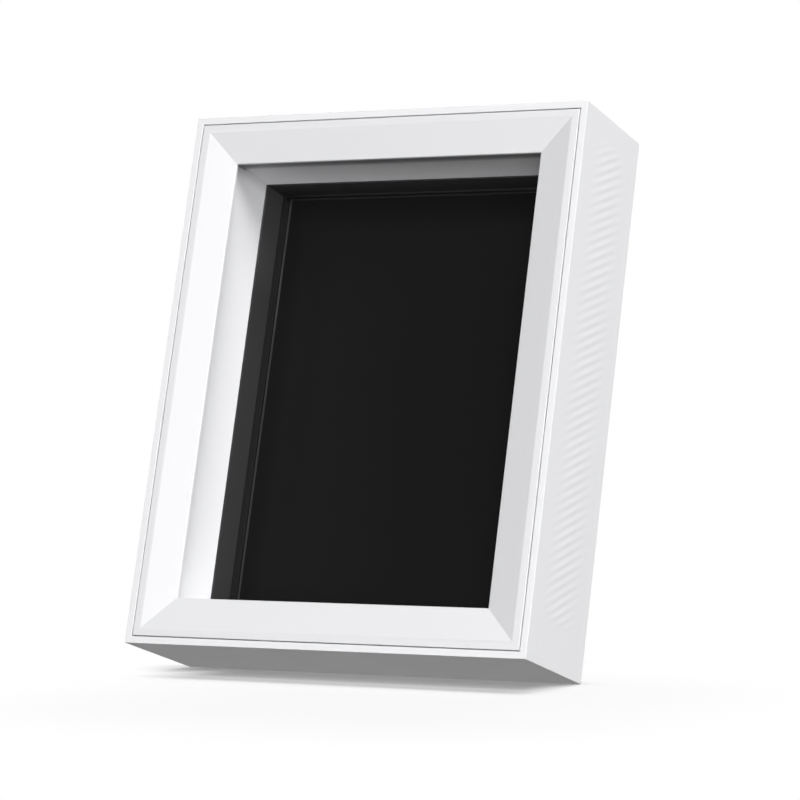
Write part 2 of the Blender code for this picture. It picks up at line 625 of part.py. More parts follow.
join(cover, block("hinge_block", (-BLOCK_HALF, BLOCK_HALF), (POCKET_AT - POCKET_WALL, CAVITY_BACK + FIT),
                  (pocket_low - POCKET_WALL, recess_top + POCKET_WALL)))
for number, (x, z) in enumerate(corners(post_in), 1):
    reach = POST / 2 - FIT
    join(cover, block(f"cover_boss_{number}", (x - reach, x + reach), (LIP_BACK + FIT, COVER_AT + 1 * MM),
                      (z - reach, z + reach)))
cut(cover, block("leg_recess", (-recess_half, recess_half), (RECESS_AT, HUMP_BACK + PAST),
                 (-PAST, recess_top)))
cut(cover, block("hinge_pocket", (-recess_half, recess_half), (POCKET_AT, HUMP_BACK + PAST),
                 (pocket_low, recess_top)))
pin_room = PIN_HALF + FIT
cut(cover, rod("pin_bore", PIN_R + RUN, (-pin_room, HINGE_AT, HINGE_UP), (pin_room, HINGE_AT, HINGE_UP)))
seat = FRAME_D - HEAD_H - FIT
for number, (x, z) in enumerate(corners(post_in), 1):
    cut(cover, rod(f"cover_hole_{number}", SCREW_R + FIT, (x, LIP_BACK - PAST, z), (x, FRAME_D + PAST, z)))
    cut(cover, rod(f"counterbore_{number}", HEAD_R + FIT, (x, seat - FIT, z), (x, FRAME_D + PAST, z)))
    screw(f"rear_screw_{number}", SCREW_R, HEAD_R, HEAD_H, x, z, seat, post_end - SCREW_BITE)
vent_low = HUMP_HIGH - 14 * MM - VENT_H
for number in range(VENT_COUNT):
    x = (number - (VENT_COUNT - 1) / 2) * VENT_PITCH
    cut(cover, block(f"vent_{number + 1}", (x - VENT_W / 2, x + VENT_W / 2),
                     (CAVITY_BACK - PAST, HUMP_BACK + PAST), (vent_low, vent_low + VENT_H)))


def socket(name, wide, thick, long, z, tongue):
    """A plug socket lying on the board, its mouth through the right wall of the hump."""
    mouth = HUMP_HALF - SOCKET_IN
    base = mouth - long
    deep = (on_board, on_board + thick)
    shell = block(name, (base, mouth), deep, (z - wide / 2, z + wide / 2), STEEL)
    cut(shell, block(name + "_mouth", (base + 1 * MM, mouth + PAST), (deep[0] + SHELL, deep[1] - SHELL),
                     (z - wide / 2 + SHELL, z + wide / 2 - SHELL)))
    middle = (deep[0] + deep[1]) / 2
    join(shell, block(name + "_tongue", (base + 0.5 * MM, mouth - 0.8 * MM),
                      (middle - tongue / 2, middle + tongue / 2), (z - wide * 0.36, z + wide * 0.36)))
    cut(cover, block(name + "_slot", (CAVITY_HALF - PAST, HUMP_HALF + PAST), (deep[0] - FIT, deep[1] + FIT),
                     (z - wide / 2 - FIT, z + wide / 2 + FIT)))
    return shell


socket("usb_c_port", USB_W, USB_T, USB_LONG, BOARD_LOW + USB_UP, 0.7 * MM)
socket("hdmi_port", HDMI_W, HDMI_T, HDMI_LONG, BOARD_LOW + HDMI_UP, 1.4 * MM)

# Side buttons: each slides through the left wall of the hump onto a switch at the board's edge
wall_in = -CAVITY_HALF
switch_mid = on_board + SWITCH_THICK / 2
lip_at = wall_in + FIT
stem_end = lip_at + BUTTON_LIP_THICK + 0.6 * MM
switch_face = stem_end + FIT + PLUNGER_OUT
for number, word in enumerate(("previous", "play", "next")):
    z = BOARD_LOW + BUTTON_UP + (1 - number) * BUTTON_PITCH
    button = block(f"{word}_button", (-HUMP_HALF - BUTTON_PROUD, stem_end),
                   (switch_mid - BUTTON_WIDE / 2, switch_mid + BUTTON_WIDE / 2),
                   (z - BUTTON_LONG / 2, z + BUTTON_LONG / 2), KEY, rounding=0.4 * MM)
    wide = BUTTON_WIDE / 2 + BUTTON_LIP
    long = BUTTON_LONG / 2 + BUTTON_LIP
    join(button, block(f"{word}_lip", (lip_at, lip_at + BUTTON_LIP_THICK),
                       (switch_mid - wide, switch_mid + wide), (z - long, z + long)))
    wide = BUTTON_WIDE / 2 + FIT
    long = BUTTON_LONG / 2 + FIT
    cut(cover, block(f"{word}_hole", (-HUMP_HALF - PAST, wall_in + PAST),
                     (switch_mid - wide, switch_mid + wide), (z - long, z + long)))
    body = block(f"switch_{word}", (switch_face, switch_face + SWITCH_THICK),
                 (on_board, on_board + SWITCH_THICK), (z - SWITCH / 2, z + SWITCH / 2), CHIPS)
    cut(body, rod(f"plunger_room_{word}", PLUNGER_R + RUN, (switch_face - PAST, switch_mid, z),
                  (switch_face + PLUNGER_IN + BUTTON_TRAVEL + FIT, switch_mid, z)))
    rod(f"plunger_{word}", PLUNGER_R, (stem_end + FIT, switch_mid, z),
        (switch_face + PLUNGER_IN, switch_mid, z), KEY)

# Power button and status light on the rear face
switch_top = on_board + SWITCH_THICK
stem = switch_top + PLUNGER_OUT + FIT
lip_back = CAVITY_BACK - FIT
power = rod("power_button", POWER_R, (POWER_X, stem, POWER_Z), (POWER_X, HUMP_BACK + BUTTON_PROUD, POWER_Z),
            KEY, sides=24)
join(power, rod("power_lip", POWER_R + BUTTON_LIP, (POWER_X, lip_back - BUTTON_LIP_THICK, POWER_Z),
                (POWER_X, lip_back, POWER_Z), sides=24))
cut(cover, rod("power_hole", POWER_R + FIT, (POWER_X, CAVITY_BACK - PAST, POWER_Z),
               (POWER_X, HUMP_BACK + PAST, POWER_Z), sides=24))
body = block("switch_power", (POWER_X - SWITCH / 2, POWER_X + SWITCH / 2), (on_board, switch_top),
             (POWER_Z - SWITCH / 2, POWER_Z + SWITCH / 2), CHIPS)
cut(body, rod("plunger_room_power", PLUNGER_R + RUN,
              (POWER_X, switch_top - PLUNGER_IN - BUTTON_TRAVEL - FIT, POWER_Z),
              (POWER_X, switch_top + PAST, POWER_Z)))
rod("plunger_power", PLUNGER_R, (POWER_X, switch_top - PLUNGER_IN, POWER_Z), (POWER_X, stem - FIT, POWER_Z),
    KEY)
light_z = POWER_Z + LIGHT_ABOVE
rod("status_light", LIGHT_R, (POWER_X, on_board, light_z), (POWER_X, HUMP_BACK, light_z), PIPE)
cut(cover, rod("light_hole", LIGHT_R + FIT, (POWER_X, CAVITY_BACK - PAST, light_z),
               (POWER_X, HUMP_BACK + PAST, light_z)))

# Kickstand: drawn folded round the hinge axis, swung open by its parent empty
front = LEG_FRONT - HINGE_AT
back = LEG_BACK - HINGE_AT
leg_mid = (front + back) / 2
floor_front = -(HINGE_HEIGHT + front * sin(STAND_SLOPE)) / cos(STAND_SLOPE)
floor_back = -(HINGE_HEIGHT + back * sin(STAND_SLOPE)) / cos(STAND_SLOPE)
leg_end = -LEG_TAIL + PAD_LENGTH
soft = 2.0 * MM
leg_shape = [(-LEG_FOOT_W / 2, leg_end), (LEG_FOOT_W / 2, leg_end), (LEG_TOP_W / 2, -BARREL_R - HEEL),
             (LEG_TOP_W / 2, HEEL - soft), (LEG_TOP_W / 2 - soft, HEEL), (-LEG_TOP_W / 2 + soft, HEEL),
             (-LEG_TOP_W / 2, HEEL - soft), (-LEG_TOP_W / 2, -BARREL_R - HEEL)]
leg = outline("kickstand_leg", leg_shape, LEG_THICK, "y", (0, leg_mid, 0), WHITE, stand_axis)
join(leg, rod("barrel", BARREL_R, (-LEG_TOP_W / 2, 0, 0), (LEG_TOP_W / 2, 0, 0), None, stand_axis, 24))
tongue_half = LEG_FOOT_W / 2 - 3 * MM
join(leg, block("leg_tongue", (-tongue_half, tongue_half), (leg_mid - TONGUE_THICK / 2, leg_mid + TONGUE_THICK / 2),
                (leg_end - TONGUE, leg_end + 1 * MM), None, stand_axis))
cut(leg, rod("leg_bore", PIN_R + RUN, (-LEG_TOP_W, 0, 0), (LEG_TOP_W, 0, 0), None, stand_axis, 24))
pad_shape = [(front, leg_end - FIT), (front, floor_front), (back, floor_back), (back, leg_end - FIT)]
pad = outline("kickstand_pad", pad_shape, LEG_FOOT_W, "x", (0, 0, 0), RUBBER, stand_axis)
cut(pad, block("tongue_room", (-tongue_half - FIT, tongue_half + FIT),
               (leg_mid - TONGUE_THICK / 2 - FIT, leg_mid + TONGUE_THICK / 2 + FIT),
               (leg_end - TONGUE - FIT, leg_end + PAST), None, stand_axis))
rod("hinge_pin", PIN_R, (-PIN_HALF, HINGE_AT, HINGE_UP), (PIN_HALF, HINGE_AT, HINGE_UP), STEEL, sides=24)
for side, word in ((-1, "left"), (1, "right")):
    inner = side * (LEG_TOP_W / 2 + FIT)
    outer = side * (LEG_TOP_W / 2 + FIT + WASHER)
    washer = rod(f"hinge_washer_{word}", BARREL_R - 0.1 * MM, (inner, HINGE_AT, HINGE_UP),
                 (outer, HINGE_AT, HINGE_UP), STEEL)
    cut(washer, rod(f"washer_bore_{word}", PIN_R + RUN, (inner - side * PAST, HINGE_AT, HINGE_UP),
                    (outer + side * PAST, HINGE_AT, HINGE_UP), sides=24))
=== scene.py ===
"""Holographic photo frame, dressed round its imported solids.

The frame leans back on its rear bottom edge. Pieces are modelled upright, with x across, y from the
front plane to the back and z up from the bottom face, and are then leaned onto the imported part.
"""

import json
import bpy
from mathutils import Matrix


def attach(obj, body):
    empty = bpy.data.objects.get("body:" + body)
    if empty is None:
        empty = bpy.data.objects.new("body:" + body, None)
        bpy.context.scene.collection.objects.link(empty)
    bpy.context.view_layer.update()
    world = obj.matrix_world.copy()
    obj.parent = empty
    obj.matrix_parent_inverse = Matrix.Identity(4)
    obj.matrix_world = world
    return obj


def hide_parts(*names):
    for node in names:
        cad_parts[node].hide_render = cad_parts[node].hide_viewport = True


bl_info = {
    "name": "Holographic Photo Frame",
    "version": (1, 0, 0),
    "blender": (4, 5, 0),
    "location": "3D Viewport > Sidebar > Photo Frame",
    "description": "Models and finishes a leaning photo frame round its packed solids",
    "category": "Object",
}

from math import cos, pi, radians, sin

import bmesh
import bpy
from bpy.props import FloatProperty, FloatVectorProperty, IntProperty, PointerProperty
from bpy.types import Operator, Panel, PropertyGroup
from mathutils import Matrix, Vector

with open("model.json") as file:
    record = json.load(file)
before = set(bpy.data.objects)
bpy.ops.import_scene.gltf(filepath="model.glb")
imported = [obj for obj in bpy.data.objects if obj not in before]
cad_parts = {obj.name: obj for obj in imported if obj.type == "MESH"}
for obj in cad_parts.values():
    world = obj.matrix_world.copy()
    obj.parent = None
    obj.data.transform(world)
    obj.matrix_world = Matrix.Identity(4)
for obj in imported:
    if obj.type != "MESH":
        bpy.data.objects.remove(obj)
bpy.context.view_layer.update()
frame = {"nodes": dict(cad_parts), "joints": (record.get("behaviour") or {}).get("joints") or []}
NODES = frame["nodes"]
MM = 0.001

# The upright axes of the frame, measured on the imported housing.
LEAN = radians(15.0)
TILT = Matrix.Rotation(-LEAN, 4, "X")


def corners(node, axes):
    """Lowest and highest corner of a CAD node in turned axes."""
    points = [axes.inverted() @ vert.co for vert in NODES[node].data.vertices]
    low = Vector([min(point[i] for point in points) for i in range(3)])
    high = Vector([max(point[i] for point in points) for i in range(3)])
    return low, high


FOOT = corners("housing", TILT)[0] * Vector((0, 1, 1))
LEANING = TILT @ Matrix.Translation(FOOT)


def upright(node):
    """Lowest and highest corner of a CAD node in the frame's upright axes."""
    low, high = corners(node, TILT)
    return low - FOOT, high - FOOT


def middle_of(node):
    """Middle of a CAD node in the frame's upright axes."""
    low, high = upright(node)
    return (low + high) / 2


HOUSING_LOW, HOUSING_HIGH = upright("housing")
HALF = HOUSING_HIGH.x
TALL = HOUSING_HIGH.z
DEEP = HOUSING_HIGH.y
FRAME_MIDDLE = Vector((0.0, 0.0, TALL / 2))
FRAME_HALF = Vector((HALF, 0.0, TALL / 2))
# The axes along the open leg of the stand, from its hinge.
HINGE = Vector(next(j["pos_m"] for j in frame["joints"] if j["name"] == "kickstand_hinge"))
STANDING = Matrix.Translation(HINGE) @ Matrix.Rotation(LEAN, 4, "X")


def length(name, description, default):
    """A size in metres for a property group."""
    return FloatProperty(name=name, description=description, default=default, unit="LENGTH",
                         precision=5)


def colour(name, description, default):
    """A linear colour for a property group."""
    return FloatVectorProperty(name=name, description=description, default=default,
                               subtype="COLOR", min=0.0, max=1.0)


def whole(name, description, default, least, most):
    """A whole number for a property group."""
    return IntProperty(name=name, description=description, default=default, min=least, max=most)


def ratio(name, description, default):
    """A number from 0 to 1 for a property group."""
    return FloatProperty(name=name, description=description, default=default, min=0.0, max=1.0)


def angle(name, description, degrees):
    """An angle for a property group."""
    return FloatProperty(name=name, description=description, default=radians(degrees),
                         subtype="ANGLE")


def lamp_power(name, description, default):
    """A lamp's power in watts for a property group."""
    return FloatProperty(name=name, description=description, default=default, unit="POWER")


class PhotoFrameShape(PropertyGroup):
    """Sizes of the forms that the scene adds to the solids."""

    edge_round: length("Edge Round", "Radius of the housing's outer edges", 0.16 * MM)
    rear_lip: length("Rear Lip", "How far the sleeve stands behind the rear cover's flange", 0.45 * MM)
    wall: length("Housing Wall", "Thickness of the housing's sleeve", 2.6 * MM)
    ledge_at: length("Ledge Depth", "Where the housing's inner ledge starts", 8.0 * MM)
    ledge_thick: length("Ledge Thickness", "Thickness of the housing's inner ledge", 2.0 * MM)
    ledge_reach: length("Ledge Reach", "How far the ledge stands in from the sleeve", 5.4 * MM)
    foot_proud: length("Foot Proud", "How far the soft feet stand out of the bottom", 0.03 * MM)
    floor_drop: length("Floor Drop", "How far the standing edge reaches below the solids", 0.87 * MM)
    rim_flat: length("Bezel Rim", "Flat rim of the bezel", 2.7 * MM)
    bevel_width: length("Bezel Slope Width", "Width of the bezel's sloping face", 12.28 * MM)
    bevel_depth: length("Bezel Slope Depth", "How far the sloping face drops", 3.0 * MM)
    lip: length("Bezel Lip", "Thickness of the bezel at its opening", 2.0 * MM)
    lip_face: length("Lip Face", "Straight part of the lip before it falls back", 1.2 * MM)
    lip_round: length("Lip Round", "Rounding of the lip's front edge", 0.3 * MM)
    lip_undercut: length("Lip Undercut", "How far the lip falls back behind its edge", 1.0 * MM)
    liner_start: length("White Wall Start", "Front edge of the white wall behind the lip", 6.3 * MM)
    liner_front: length("White Wall Front", "Inset of the white wall at its front edge", 16.4 * MM)
    liner_rear: length("White Wall Rear", "Inset of the white wall at the black wall", 19.0 * MM)
    liner_thick: length("White Wall Edge", "Thickness of the white wall's front edge", 1.4 * MM)
    liner_straight: ratio("White Wall Straightness", "Share of the wall's slope at its front", 0.08)
    liner_steps: whole("White Wall Steps", "Rows of faces along that wall", 14, 2, 40)
    liner_round: length("White Wall Edge Round", "Rounding where it meets the black wall", 0.3 * MM)
    skirt: length("Bezel Skirt", "Wall round the back of the bezel", 2.25 * MM)
    soft_edge: length("Softened Edge", "Rounding of small moulded edges", 0.25 * MM)
    crease_round: length("Bezel Crease", "Rounding where the rim turns into the slope", 0.5 * MM)
    rib_pitch: length("Rib Pitch", "Height from one side rib to the next", 3.66 * MM)
    rib_rise: length("Rib Height", "How far a side rib stands out", 0.15 * MM)
    rib_slope: ratio("Rib Slope", "Rise of a rib for its run to the rear", 0.5025)
    rib_shift: length("Rib Shift", "Height of a rib's crest at the front edge", 1.4 * MM)
    rib_front: length("Rib Front", "Where the ribs start behind the front edge", 4.6 * MM)
    rib_back: length("Rib Back", "Where the ribs end before the rear edge", 42.2 * MM)
    rib_low: length("Rib Low End", "Lower end of the ribbed field", 14.0 * MM)
    rib_high: length("Rib High End", "Upper end of the ribbed field", 195.5 * MM)
    rib_fade: length("Rib Fade", "Length over which the ribs die out at both ends", 6.0 * MM)
    rib_rows: whole("Rib Rows", "Rows of faces in the ribbed field", 480, 40, 700)
    rib_columns: whole("Rib Columns", "Columns of faces in that field", 56, 10, 120)
    vent_height: length("Vent Height", "Middle of the rear vents above the bottom", 170.7 * MM)
    trim_side: length("Screen Trim Side", "Step in from the sides of the lens sheet", 2.8 * MM)
    trim_end: length("Screen Trim End", "Step in from the ends of the lens sheet", 2.45 * MM)
    trim_edge: length("Screen Trim Edge", "Front edge of the step round the screen", 0.03 * MM)
    trim_slope: length("Screen Trim Slope", "How far the step leans in to the screen", 0.22 * MM)
    trim_height: length("Screen Trim Height", "How far the step stands up from the screen", 1.1 * MM)


class PhotoFrameColours(PropertyGroup):
    """Colours of the finishes."""

    shell_white: colour("Shell White", "Moulded housing", (0.86, 0.86, 0.875))
    bezel_white: colour("Bezel White", "Bezel and white wall", (0.798, 0.798, 0.812))
    rear_white: colour("Rear White", "Grained rear cover and stand", (0.74, 0.74, 0.745))
    wall_black: colour("Wall Black", "Satin wall round the screen", (0.044, 0.044, 0.045))
    screen_black: colour("Screen Black", "Lens sheet over the dark panel", (0.0103, 0.0103, 0.0103))
    trim_grey: colour("Trim Grey", "Step round the screen", (0.047, 0.047, 0.049))
    key_grey: colour("Key Grey", "Moulded keys", (0.55, 0.56, 0.57))
    mark_grey: colour("Mark Grey", "Raised marks on the keys", (0.16, 0.16, 0.17))
    rubber_grey: colour("Rubber Grey", "Feet and stand pad", (0.055, 0.055, 0.057))
    foot_white: colour("Foot White", "Soft feet under the frame", (0.84, 0.84, 0.855))
    steel: colour("Steel", "Screws, pin and socket shells", (0.56, 0.57, 0.58))


class PhotoFrameStage(PropertyGroup):
    """Camera and studio light."""

    camera_place: FloatVectorProperty(name="Camera Place", description="Where the camera stands",
                                      default=(0.5554, -1.0641, 0.1013), subtype="TRANSLATION")
    camera_turn: angle("Camera Turn", "How far the camera stands round", 27.51)
    camera_pitch: angle("Camera Pitch", "Upward tilt of the camera", -0.04)
    focal_length: FloatProperty(name="Focal Length", description="Lens on a 36 mm wide sensor",
                                default=145.26, subtype="DISTANCE_CAMERA")
    front_power: lamp_power("Front Power", "Softbox in front of the frame", 66.0)
    right_power: lamp_power("Right Power", "High softbox on the right", 69.0)
    low_power: lamp_power("Low Power", "Low softbox in front", 10.0)
    left_power: lamp_power("Left Power", "Low softbox left of the front", 7.6)
    bounce_power: lamp_power("Bounce Power", "Light thrown back from the floor", 11.5)
    rear_power: lamp_power("Rear Power", "Softbox behind the frame", 64.0)
    side_power: lamp_power("Side Power", "Softbox behind on the left", 62.0)
    well_power: lamp_power("Well Power", "High softbox for the white wall alone", 50.0)
    floor_top_power: lamp_power("Floor Top Power", "Overhead softbox for the floor alone", 68.0)
    floor_front_power: lamp_power("Floor Front Power", "Front softbox for the floor alone", 98.0)


# Modelling helpers.

X, Y, Z = range(3)
SAME = 0.02 * MM            # lengths closer than this are taken as one
JOINED = 0.01 * MM          # points of one mesh closer than this are merged
CAD_JOINED = 0.002 * MM     # the same for the loose triangles of a CAD node
SQUARE = 0.99               # how squarely a face looks along an axis to be picked


def clear_selection():
    """Object mode with nothing selected."""
    if bpy.context.object and bpy.context.object.mode != "OBJECT":
        bpy.ops.object.mode_set(mode="OBJECT")
    bpy.ops.object.select_all(action="DESELECT")


def make_active(piece):
    """Selects one piece alone."""
    clear_selection()
    piece.select_set(True)
    bpy.context.view_layer.objects.active = piece


def apply_place():
    """Moves the place, turn and scale of the active piece into its mesh."""
    bpy.ops.object.transform_apply(location=True, rotation=True, scale=True)


def apply_modifier(piece, kind, **settings):
    """Adds a modifier to a piece, sets it and applies it."""
    make_active(piece)
    bpy.ops.object.modifier_add(type=kind)
    modifier = piece.modifiers[-1]
    for name, value in settings.items():
        setattr(modifier, name, value)
    bpy.ops.object.modifier_apply(modifier=modifier.name)


def named(name):
    """Gives the newly added object its name and applies its place."""
    piece = bpy.context.object
    piece.name = name
    piece.data.name = name
    apply_place()
    return piece


def start_block(name, low, high):
    """A box between two corners, to be shaped."""
    low = Vector(low)
    high = Vector(high)
    clear_selection()
    bpy.ops.mesh.primitive_cube_add(size=1.0, location=(low + high) / 2)
    bpy.context.object.scale = high - low
    return named(name)


def edit(piece, mode):
    """Edit mode on one piece with nothing selected."""
    if bpy.context.object != piece or piece.mode != "EDIT":
        make_active(piece)
        bpy.ops.object.mode_set(mode="EDIT")
    bpy.ops.mesh.select_mode(type=mode)
    bpy.ops.mesh.select_all(action="DESELECT")
    return bmesh.from_edit_mesh(piece.data)


def pick_faces(piece, test):
    """Selects the faces whose middle and normal pass a test."""
    shape = edit(piece, "FACE")
    for face in shape.faces:
        face.select_set(bool(test(face.calc_center_median(), face.normal)))
    bmesh.update_edit_mesh(piece.data)


def pick_edges(piece, test):
    """Selects the edges whose two ends pass a test."""
    shape = edit(piece, "EDGE")
    for edge in shape.edges:
        edge.select_set(bool(test(edge.verts[0].co, edge.verts[1].co)))
    bmesh.update_edit_mesh(piece.data)


def push(step):
    """Extrudes what is selected."""
    bpy.ops.mesh.extrude_region_move(TRANSFORM_OT_translate={"value": step})


def inset_by(width, drop=0.0):
    """Insets what is selected, and sinks it by a drop."""
    bpy.ops.mesh.inset(thickness=width, depth=-drop)


def delete_faces():
    """Deletes the faces that are selected."""
    bpy.ops.mesh.delete(type="FACE")


def near(value, target):
    """Whether two lengths are the same for modelling."""
    return abs(value - target) < SAME


def border_of(point, middle, half):
    """How far a point lies in from the nearer side of a rectangle in x and z."""
    return min(half.x - abs(point.x - middle.x), half.z - abs(point.z - middle.z))


def facing(axis, sign, at=None):
    """A test for the faces that look along an axis, or for those of them at one place on it."""
    return lambda mid, normal: (normal[axis] * sign > SQUARE
                                and (at is None or near(mid[axis], at)))


def ring(at, inset, middle, half):
    """A test for the edges at one depth that lie in from a rectangle's outline by an inset."""
    return lambda *ends: all(near(end.y, at) and near(border_of(end, middle, half), inset)
                             for end in ends)


def spread(middle, at, wider, taller):
    """Resizes what is selected at one depth, about a middle, in x and z."""
    bpy.ops.transform.resize(value=(wider, 1.0, taller), center_override=(middle.x, at, middle.z))


def round_picked(width, segments):
    """Rounds the edges that are selected."""
    bpy.ops.mesh.bevel(offset=width, segments=segments, affect="EDGES")


def round_all(piece, width, segments):
    """Rounds every edge of a piece."""
    edit(piece, "EDGE")
    bpy.ops.mesh.select_all(action="SELECT")
    round_picked(width, segments)


def weld(piece, reach=JOINED):
    """Merges the points of a piece that lie together."""
    edit(piece, "VERT")
    bpy.ops.mesh.select_all(action="SELECT")
    bpy.ops.mesh.remove_doubles(threshold=reach)


def join(piece, others):
    """Makes one piece of several."""
    make_active(piece)
    for other in others:
        other.select_set(True)
    bpy.ops.object.join()


def soften_edges(piece, width, segments, sharp=radians(40.0)):
    """Rounds every edge of a piece that is sharper than an angle."""
    edit(piece, "EDGE")
    bpy.ops.mesh.edges_select_sharp(sharpness=sharp)
    bpy.ops.mesh.bevel(offset=width, segments=segments, affect="EDGES", clamp_overlap=False)


def merged_copy(node, name, across=(), up=()):
    """A piece that starts as a CAD node's mesh, merged into whole faces.

    Faces with holes are parted through the holes, at places across the frame and up it.
    """
    piece = bpy.data.objects.new(name, NODES[node].data.copy())
    piece.data.name = name
    bpy.context.scene.collection.objects.link(piece)
    weld(piece, CAD_JOINED)
    planes = [(Vector((at, 0, 0)), Vector((1, 0, 0))) for at in across]
    planes += [(Vector((0, 0, at)), Vector((0, 0, 1))) for at in up]
    for point, normal in planes:
        bpy.ops.mesh.select_all(action="SELECT")
        bpy.ops.mesh.bisect(plane_co=LEANING @ point, plane_no=LEANING.to_3x3() @ normal)
        bpy.ops.mesh.mark_seam(clear=False)
    bpy.ops.mesh.select_all(action="SELECT")
    bpy.ops.mesh.dissolve_limited(angle_limit=radians(0.4), delimit={"SEAM"})
    return piece


def settle(piece, body, finish, replaced=(), place=LEANING, smooth=radians(32.0)):
    """Shades a piece, puts it in place and hangs it on its body."""
    edit(piece, "FACE")
    bpy.ops.mesh.select_all(action="SELECT")
    bpy.ops.mesh.normals_make_consistent(inside=False)
    make_active(piece)
    piece.matrix_world = place
    apply_place()
    bpy.ops.object.shade_smooth_by_angle(angle=smooth)
    apply_modifier(piece, "WEIGHTED_NORMAL", keep_sharp=True)
    piece.data.materials.clear()
    piece.data.materials.append(FINISHES[finish])
    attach(piece, body)
    if replaced:
        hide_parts(*replaced)


def softened(node, name, width, segments, body, finish, across=(), up=()):
    """Stands a CAD node's own shape, with its sharp edges rounded, in for that node."""
    piece = merged_copy(node, name, across, up)
    soften_edges(piece, width, segments)
    settle(piece, body, finish, (node,), NO_TURN)


def cut_away(piece, cutter):
    """Takes one piece out of another with an applied Boolean."""
    apply_modifier(piece, "BOOLEAN", operation="DIFFERENCE", solver="EXACT", object=cutter)
    bpy.data.objects.remove(cutter)


# Finishes.

# The shader's sockets by a word for each.
SOCKETS = {
    "metallic": "Metallic",
    "roughness": "Roughness",
    "ior": "IOR",
    "specular": "Specular IOR Level",
    "normal": "Normal",
}


class Reading:
    """A socket's value, ready for arithmetic inside one node tree."""

    def __init__(self, nodes, socket):
        self.nodes = nodes
        self.socket = socket

    def work_out(self, operation, first, second):
        """Adds a Math node for two values."""
        return self.nodes.node("Math", {"operation": operation}, {0: first, 1: second})

    def __add__(self, other):
        return self.work_out("ADD", self, other)

    __radd__ = __add__

    def __sub__(self, other):
        return self.work_out("SUBTRACT", self, other)

    def __rsub__(self, other):
        return self.work_out("SUBTRACT", other, self)

    def __mul__(self, other):
        return self.work_out("MULTIPLY", self, other)

    __rmul__ = __mul__

    def __truediv__(self, other):
        return self.work_out("DIVIDE", self, other)

    def above(self, limit):
        """1 above a limit and 0 elsewhere."""
        return self.work_out("GREATER_THAN", self, limit)

    def least(self, other):
        """The smaller of two values."""
        return self.work_out("MINIMUM", self, other)

    def most(self, other):
        """The larger of two values."""
        return self.work_out("MAXIMUM", self, other)


class Nodes:
    """A node tree to add nodes to."""

    def __init__(self, tree):
        self.tree = tree

    def wire(self, socket, value):
        """Links a reading to a socket, or sets the socket's own value."""
        if isinstance(value, Reading):
            self.tree.links.new(value.socket, socket)
        elif hasattr(value, "__len__") and len(value) == 3 and socket.type == "RGBA":
            socket.default_value = (*value, 1.0)
        else:
            socket.default_value = value

    def node(self, kind, settings=None, values=None, output=0):
        """Adds any node: its type, its settings and the values or links of its sockets."""
        node = self.tree.nodes.new("ShaderNode" + kind)
        for key, value in (settings or {}).items():
            setattr(node, key, value)
        for key, value in (values or {}).items():
            self.wire(node.inputs[key], value)
        return Reading(self, node.outputs[output])


class Finish(Nodes):
    """One procedural material and the nodes that make it."""

    def __init__(self, name, **steady):
        self.material = bpy.data.materials.new(name)
        self.material.use_nodes = True
        super().__init__(self.material.node_tree)
        self.shader = self.tree.nodes["Principled BSDF"]
        for word, value in steady.items():
            self.wire(self.shader.inputs[SOCKETS[word]], value)

    def place(self, turned=True):
        """Object coordinates, turned into the frame's upright axes or as they are."""
        point = self.node("TexCoord", output="Object")
        if not turned:
            return point
        return self.node("Mapping", values={"Vector": point, "Rotation": (LEAN, 0.0, 0.0)})

    def noise(self, point, scale, detail=2.0):
        """Uneven values about one half."""
        return self.node("TexNoise", values={"Vector": point, "Scale": scale, "Detail": detail})

    def lines(self, point, scale):
        """Fine even lines across x."""
        return self.node("TexWave", values={"Vector": point, "Scale": scale}, output=1)

    def blend(self, share, first, second):
        """A colour between two others."""
        return self.node("Mix", {"data_type": "RGBA"}, {0: share, 6: first, 7: second}, 2)

    def part(self, point, axis):
        """One coordinate of a point."""
        return self.node("SeparateXYZ", values={"Vector": point}, output=axis)

    def falling(self, value, start, end):
        """1 up to one value, 0 from another one on, and a soft step between them."""
        return self.node("MapRange", {"interpolation_type": "SMOOTHSTEP"},
                         {"Value": value, "From Min": start, "From Max": end,
                          "To Min": 1.0, "To Max": 0.0})

    def surface(self, shade, **others):
        """Feeds what changes over the surface to the shader, and gives the material."""
        self.wire(self.shader.inputs["Base Color"], shade)
        for word, value in others.items():
            self.wire(self.shader.inputs[SOCKETS[word]], value)
        return self.material

    def bump(self, height, strength, distance):
        """A normal from a height."""
        return self.node("Bump", values={"Height": height, "Strength": strength,
                                         "Distance": distance})


def dimmed(shade, share):
    """A colour made darker by a share."""
    return tuple(channel * (1.0 - share) for channel in shade)


def lifted(shade, share):
    """A colour made paler by a share."""
    return tuple(channel * (1.0 + share) for channel in shade)


# Where light and shade are painted into the screen tunnel's colours: from one length to another,
# behind the front plane or below the upper corner.
LIP_SHADE = (9.9 * MM, 13.4 * MM)
CORNER_SHADE = (0.0, 5.5 * MM)
STEP_PAINTED_LIGHT = (28.0 * MM, 62.0 * MM)
WALL_PAINTED_LIGHT = (22.0 * MM, 46.0 * MM)
WALL_SHADE = (26.0 * MM, 37.0 * MM)
TOP_WALL_END = 17.6 * MM    # the top white wall ends this far below the top of the frame
LEDGE_START = 37.65 * MM    # the painted shade of the ledge starts behind this depth
LEDGE_BLEND = 0.3 * MM
LEDGE_EDGE = 38.15 * MM     # the ledge's front turns into its inner edge here, behind which its painted shade is lighter on the sides


def behind_front(finish, point):
    """How far a point lies behind the front plane."""
    return finish.part(point, Y) - FOOT.y


def below_top(finish, point):
    """How far down a point lies from the top of the frame."""
    return FOOT.z + TALL - finish.part(point, Z)


def below_corner(finish, point):
    """How far down a point of a side wall lies from its upper corner. Less than 0 on a top wall."""
    across = finish.node("Math", {"operation": "ABSOLUTE"}, {0: finish.part(point, X)})
    return below_top(finish, point) - (HALF - across)


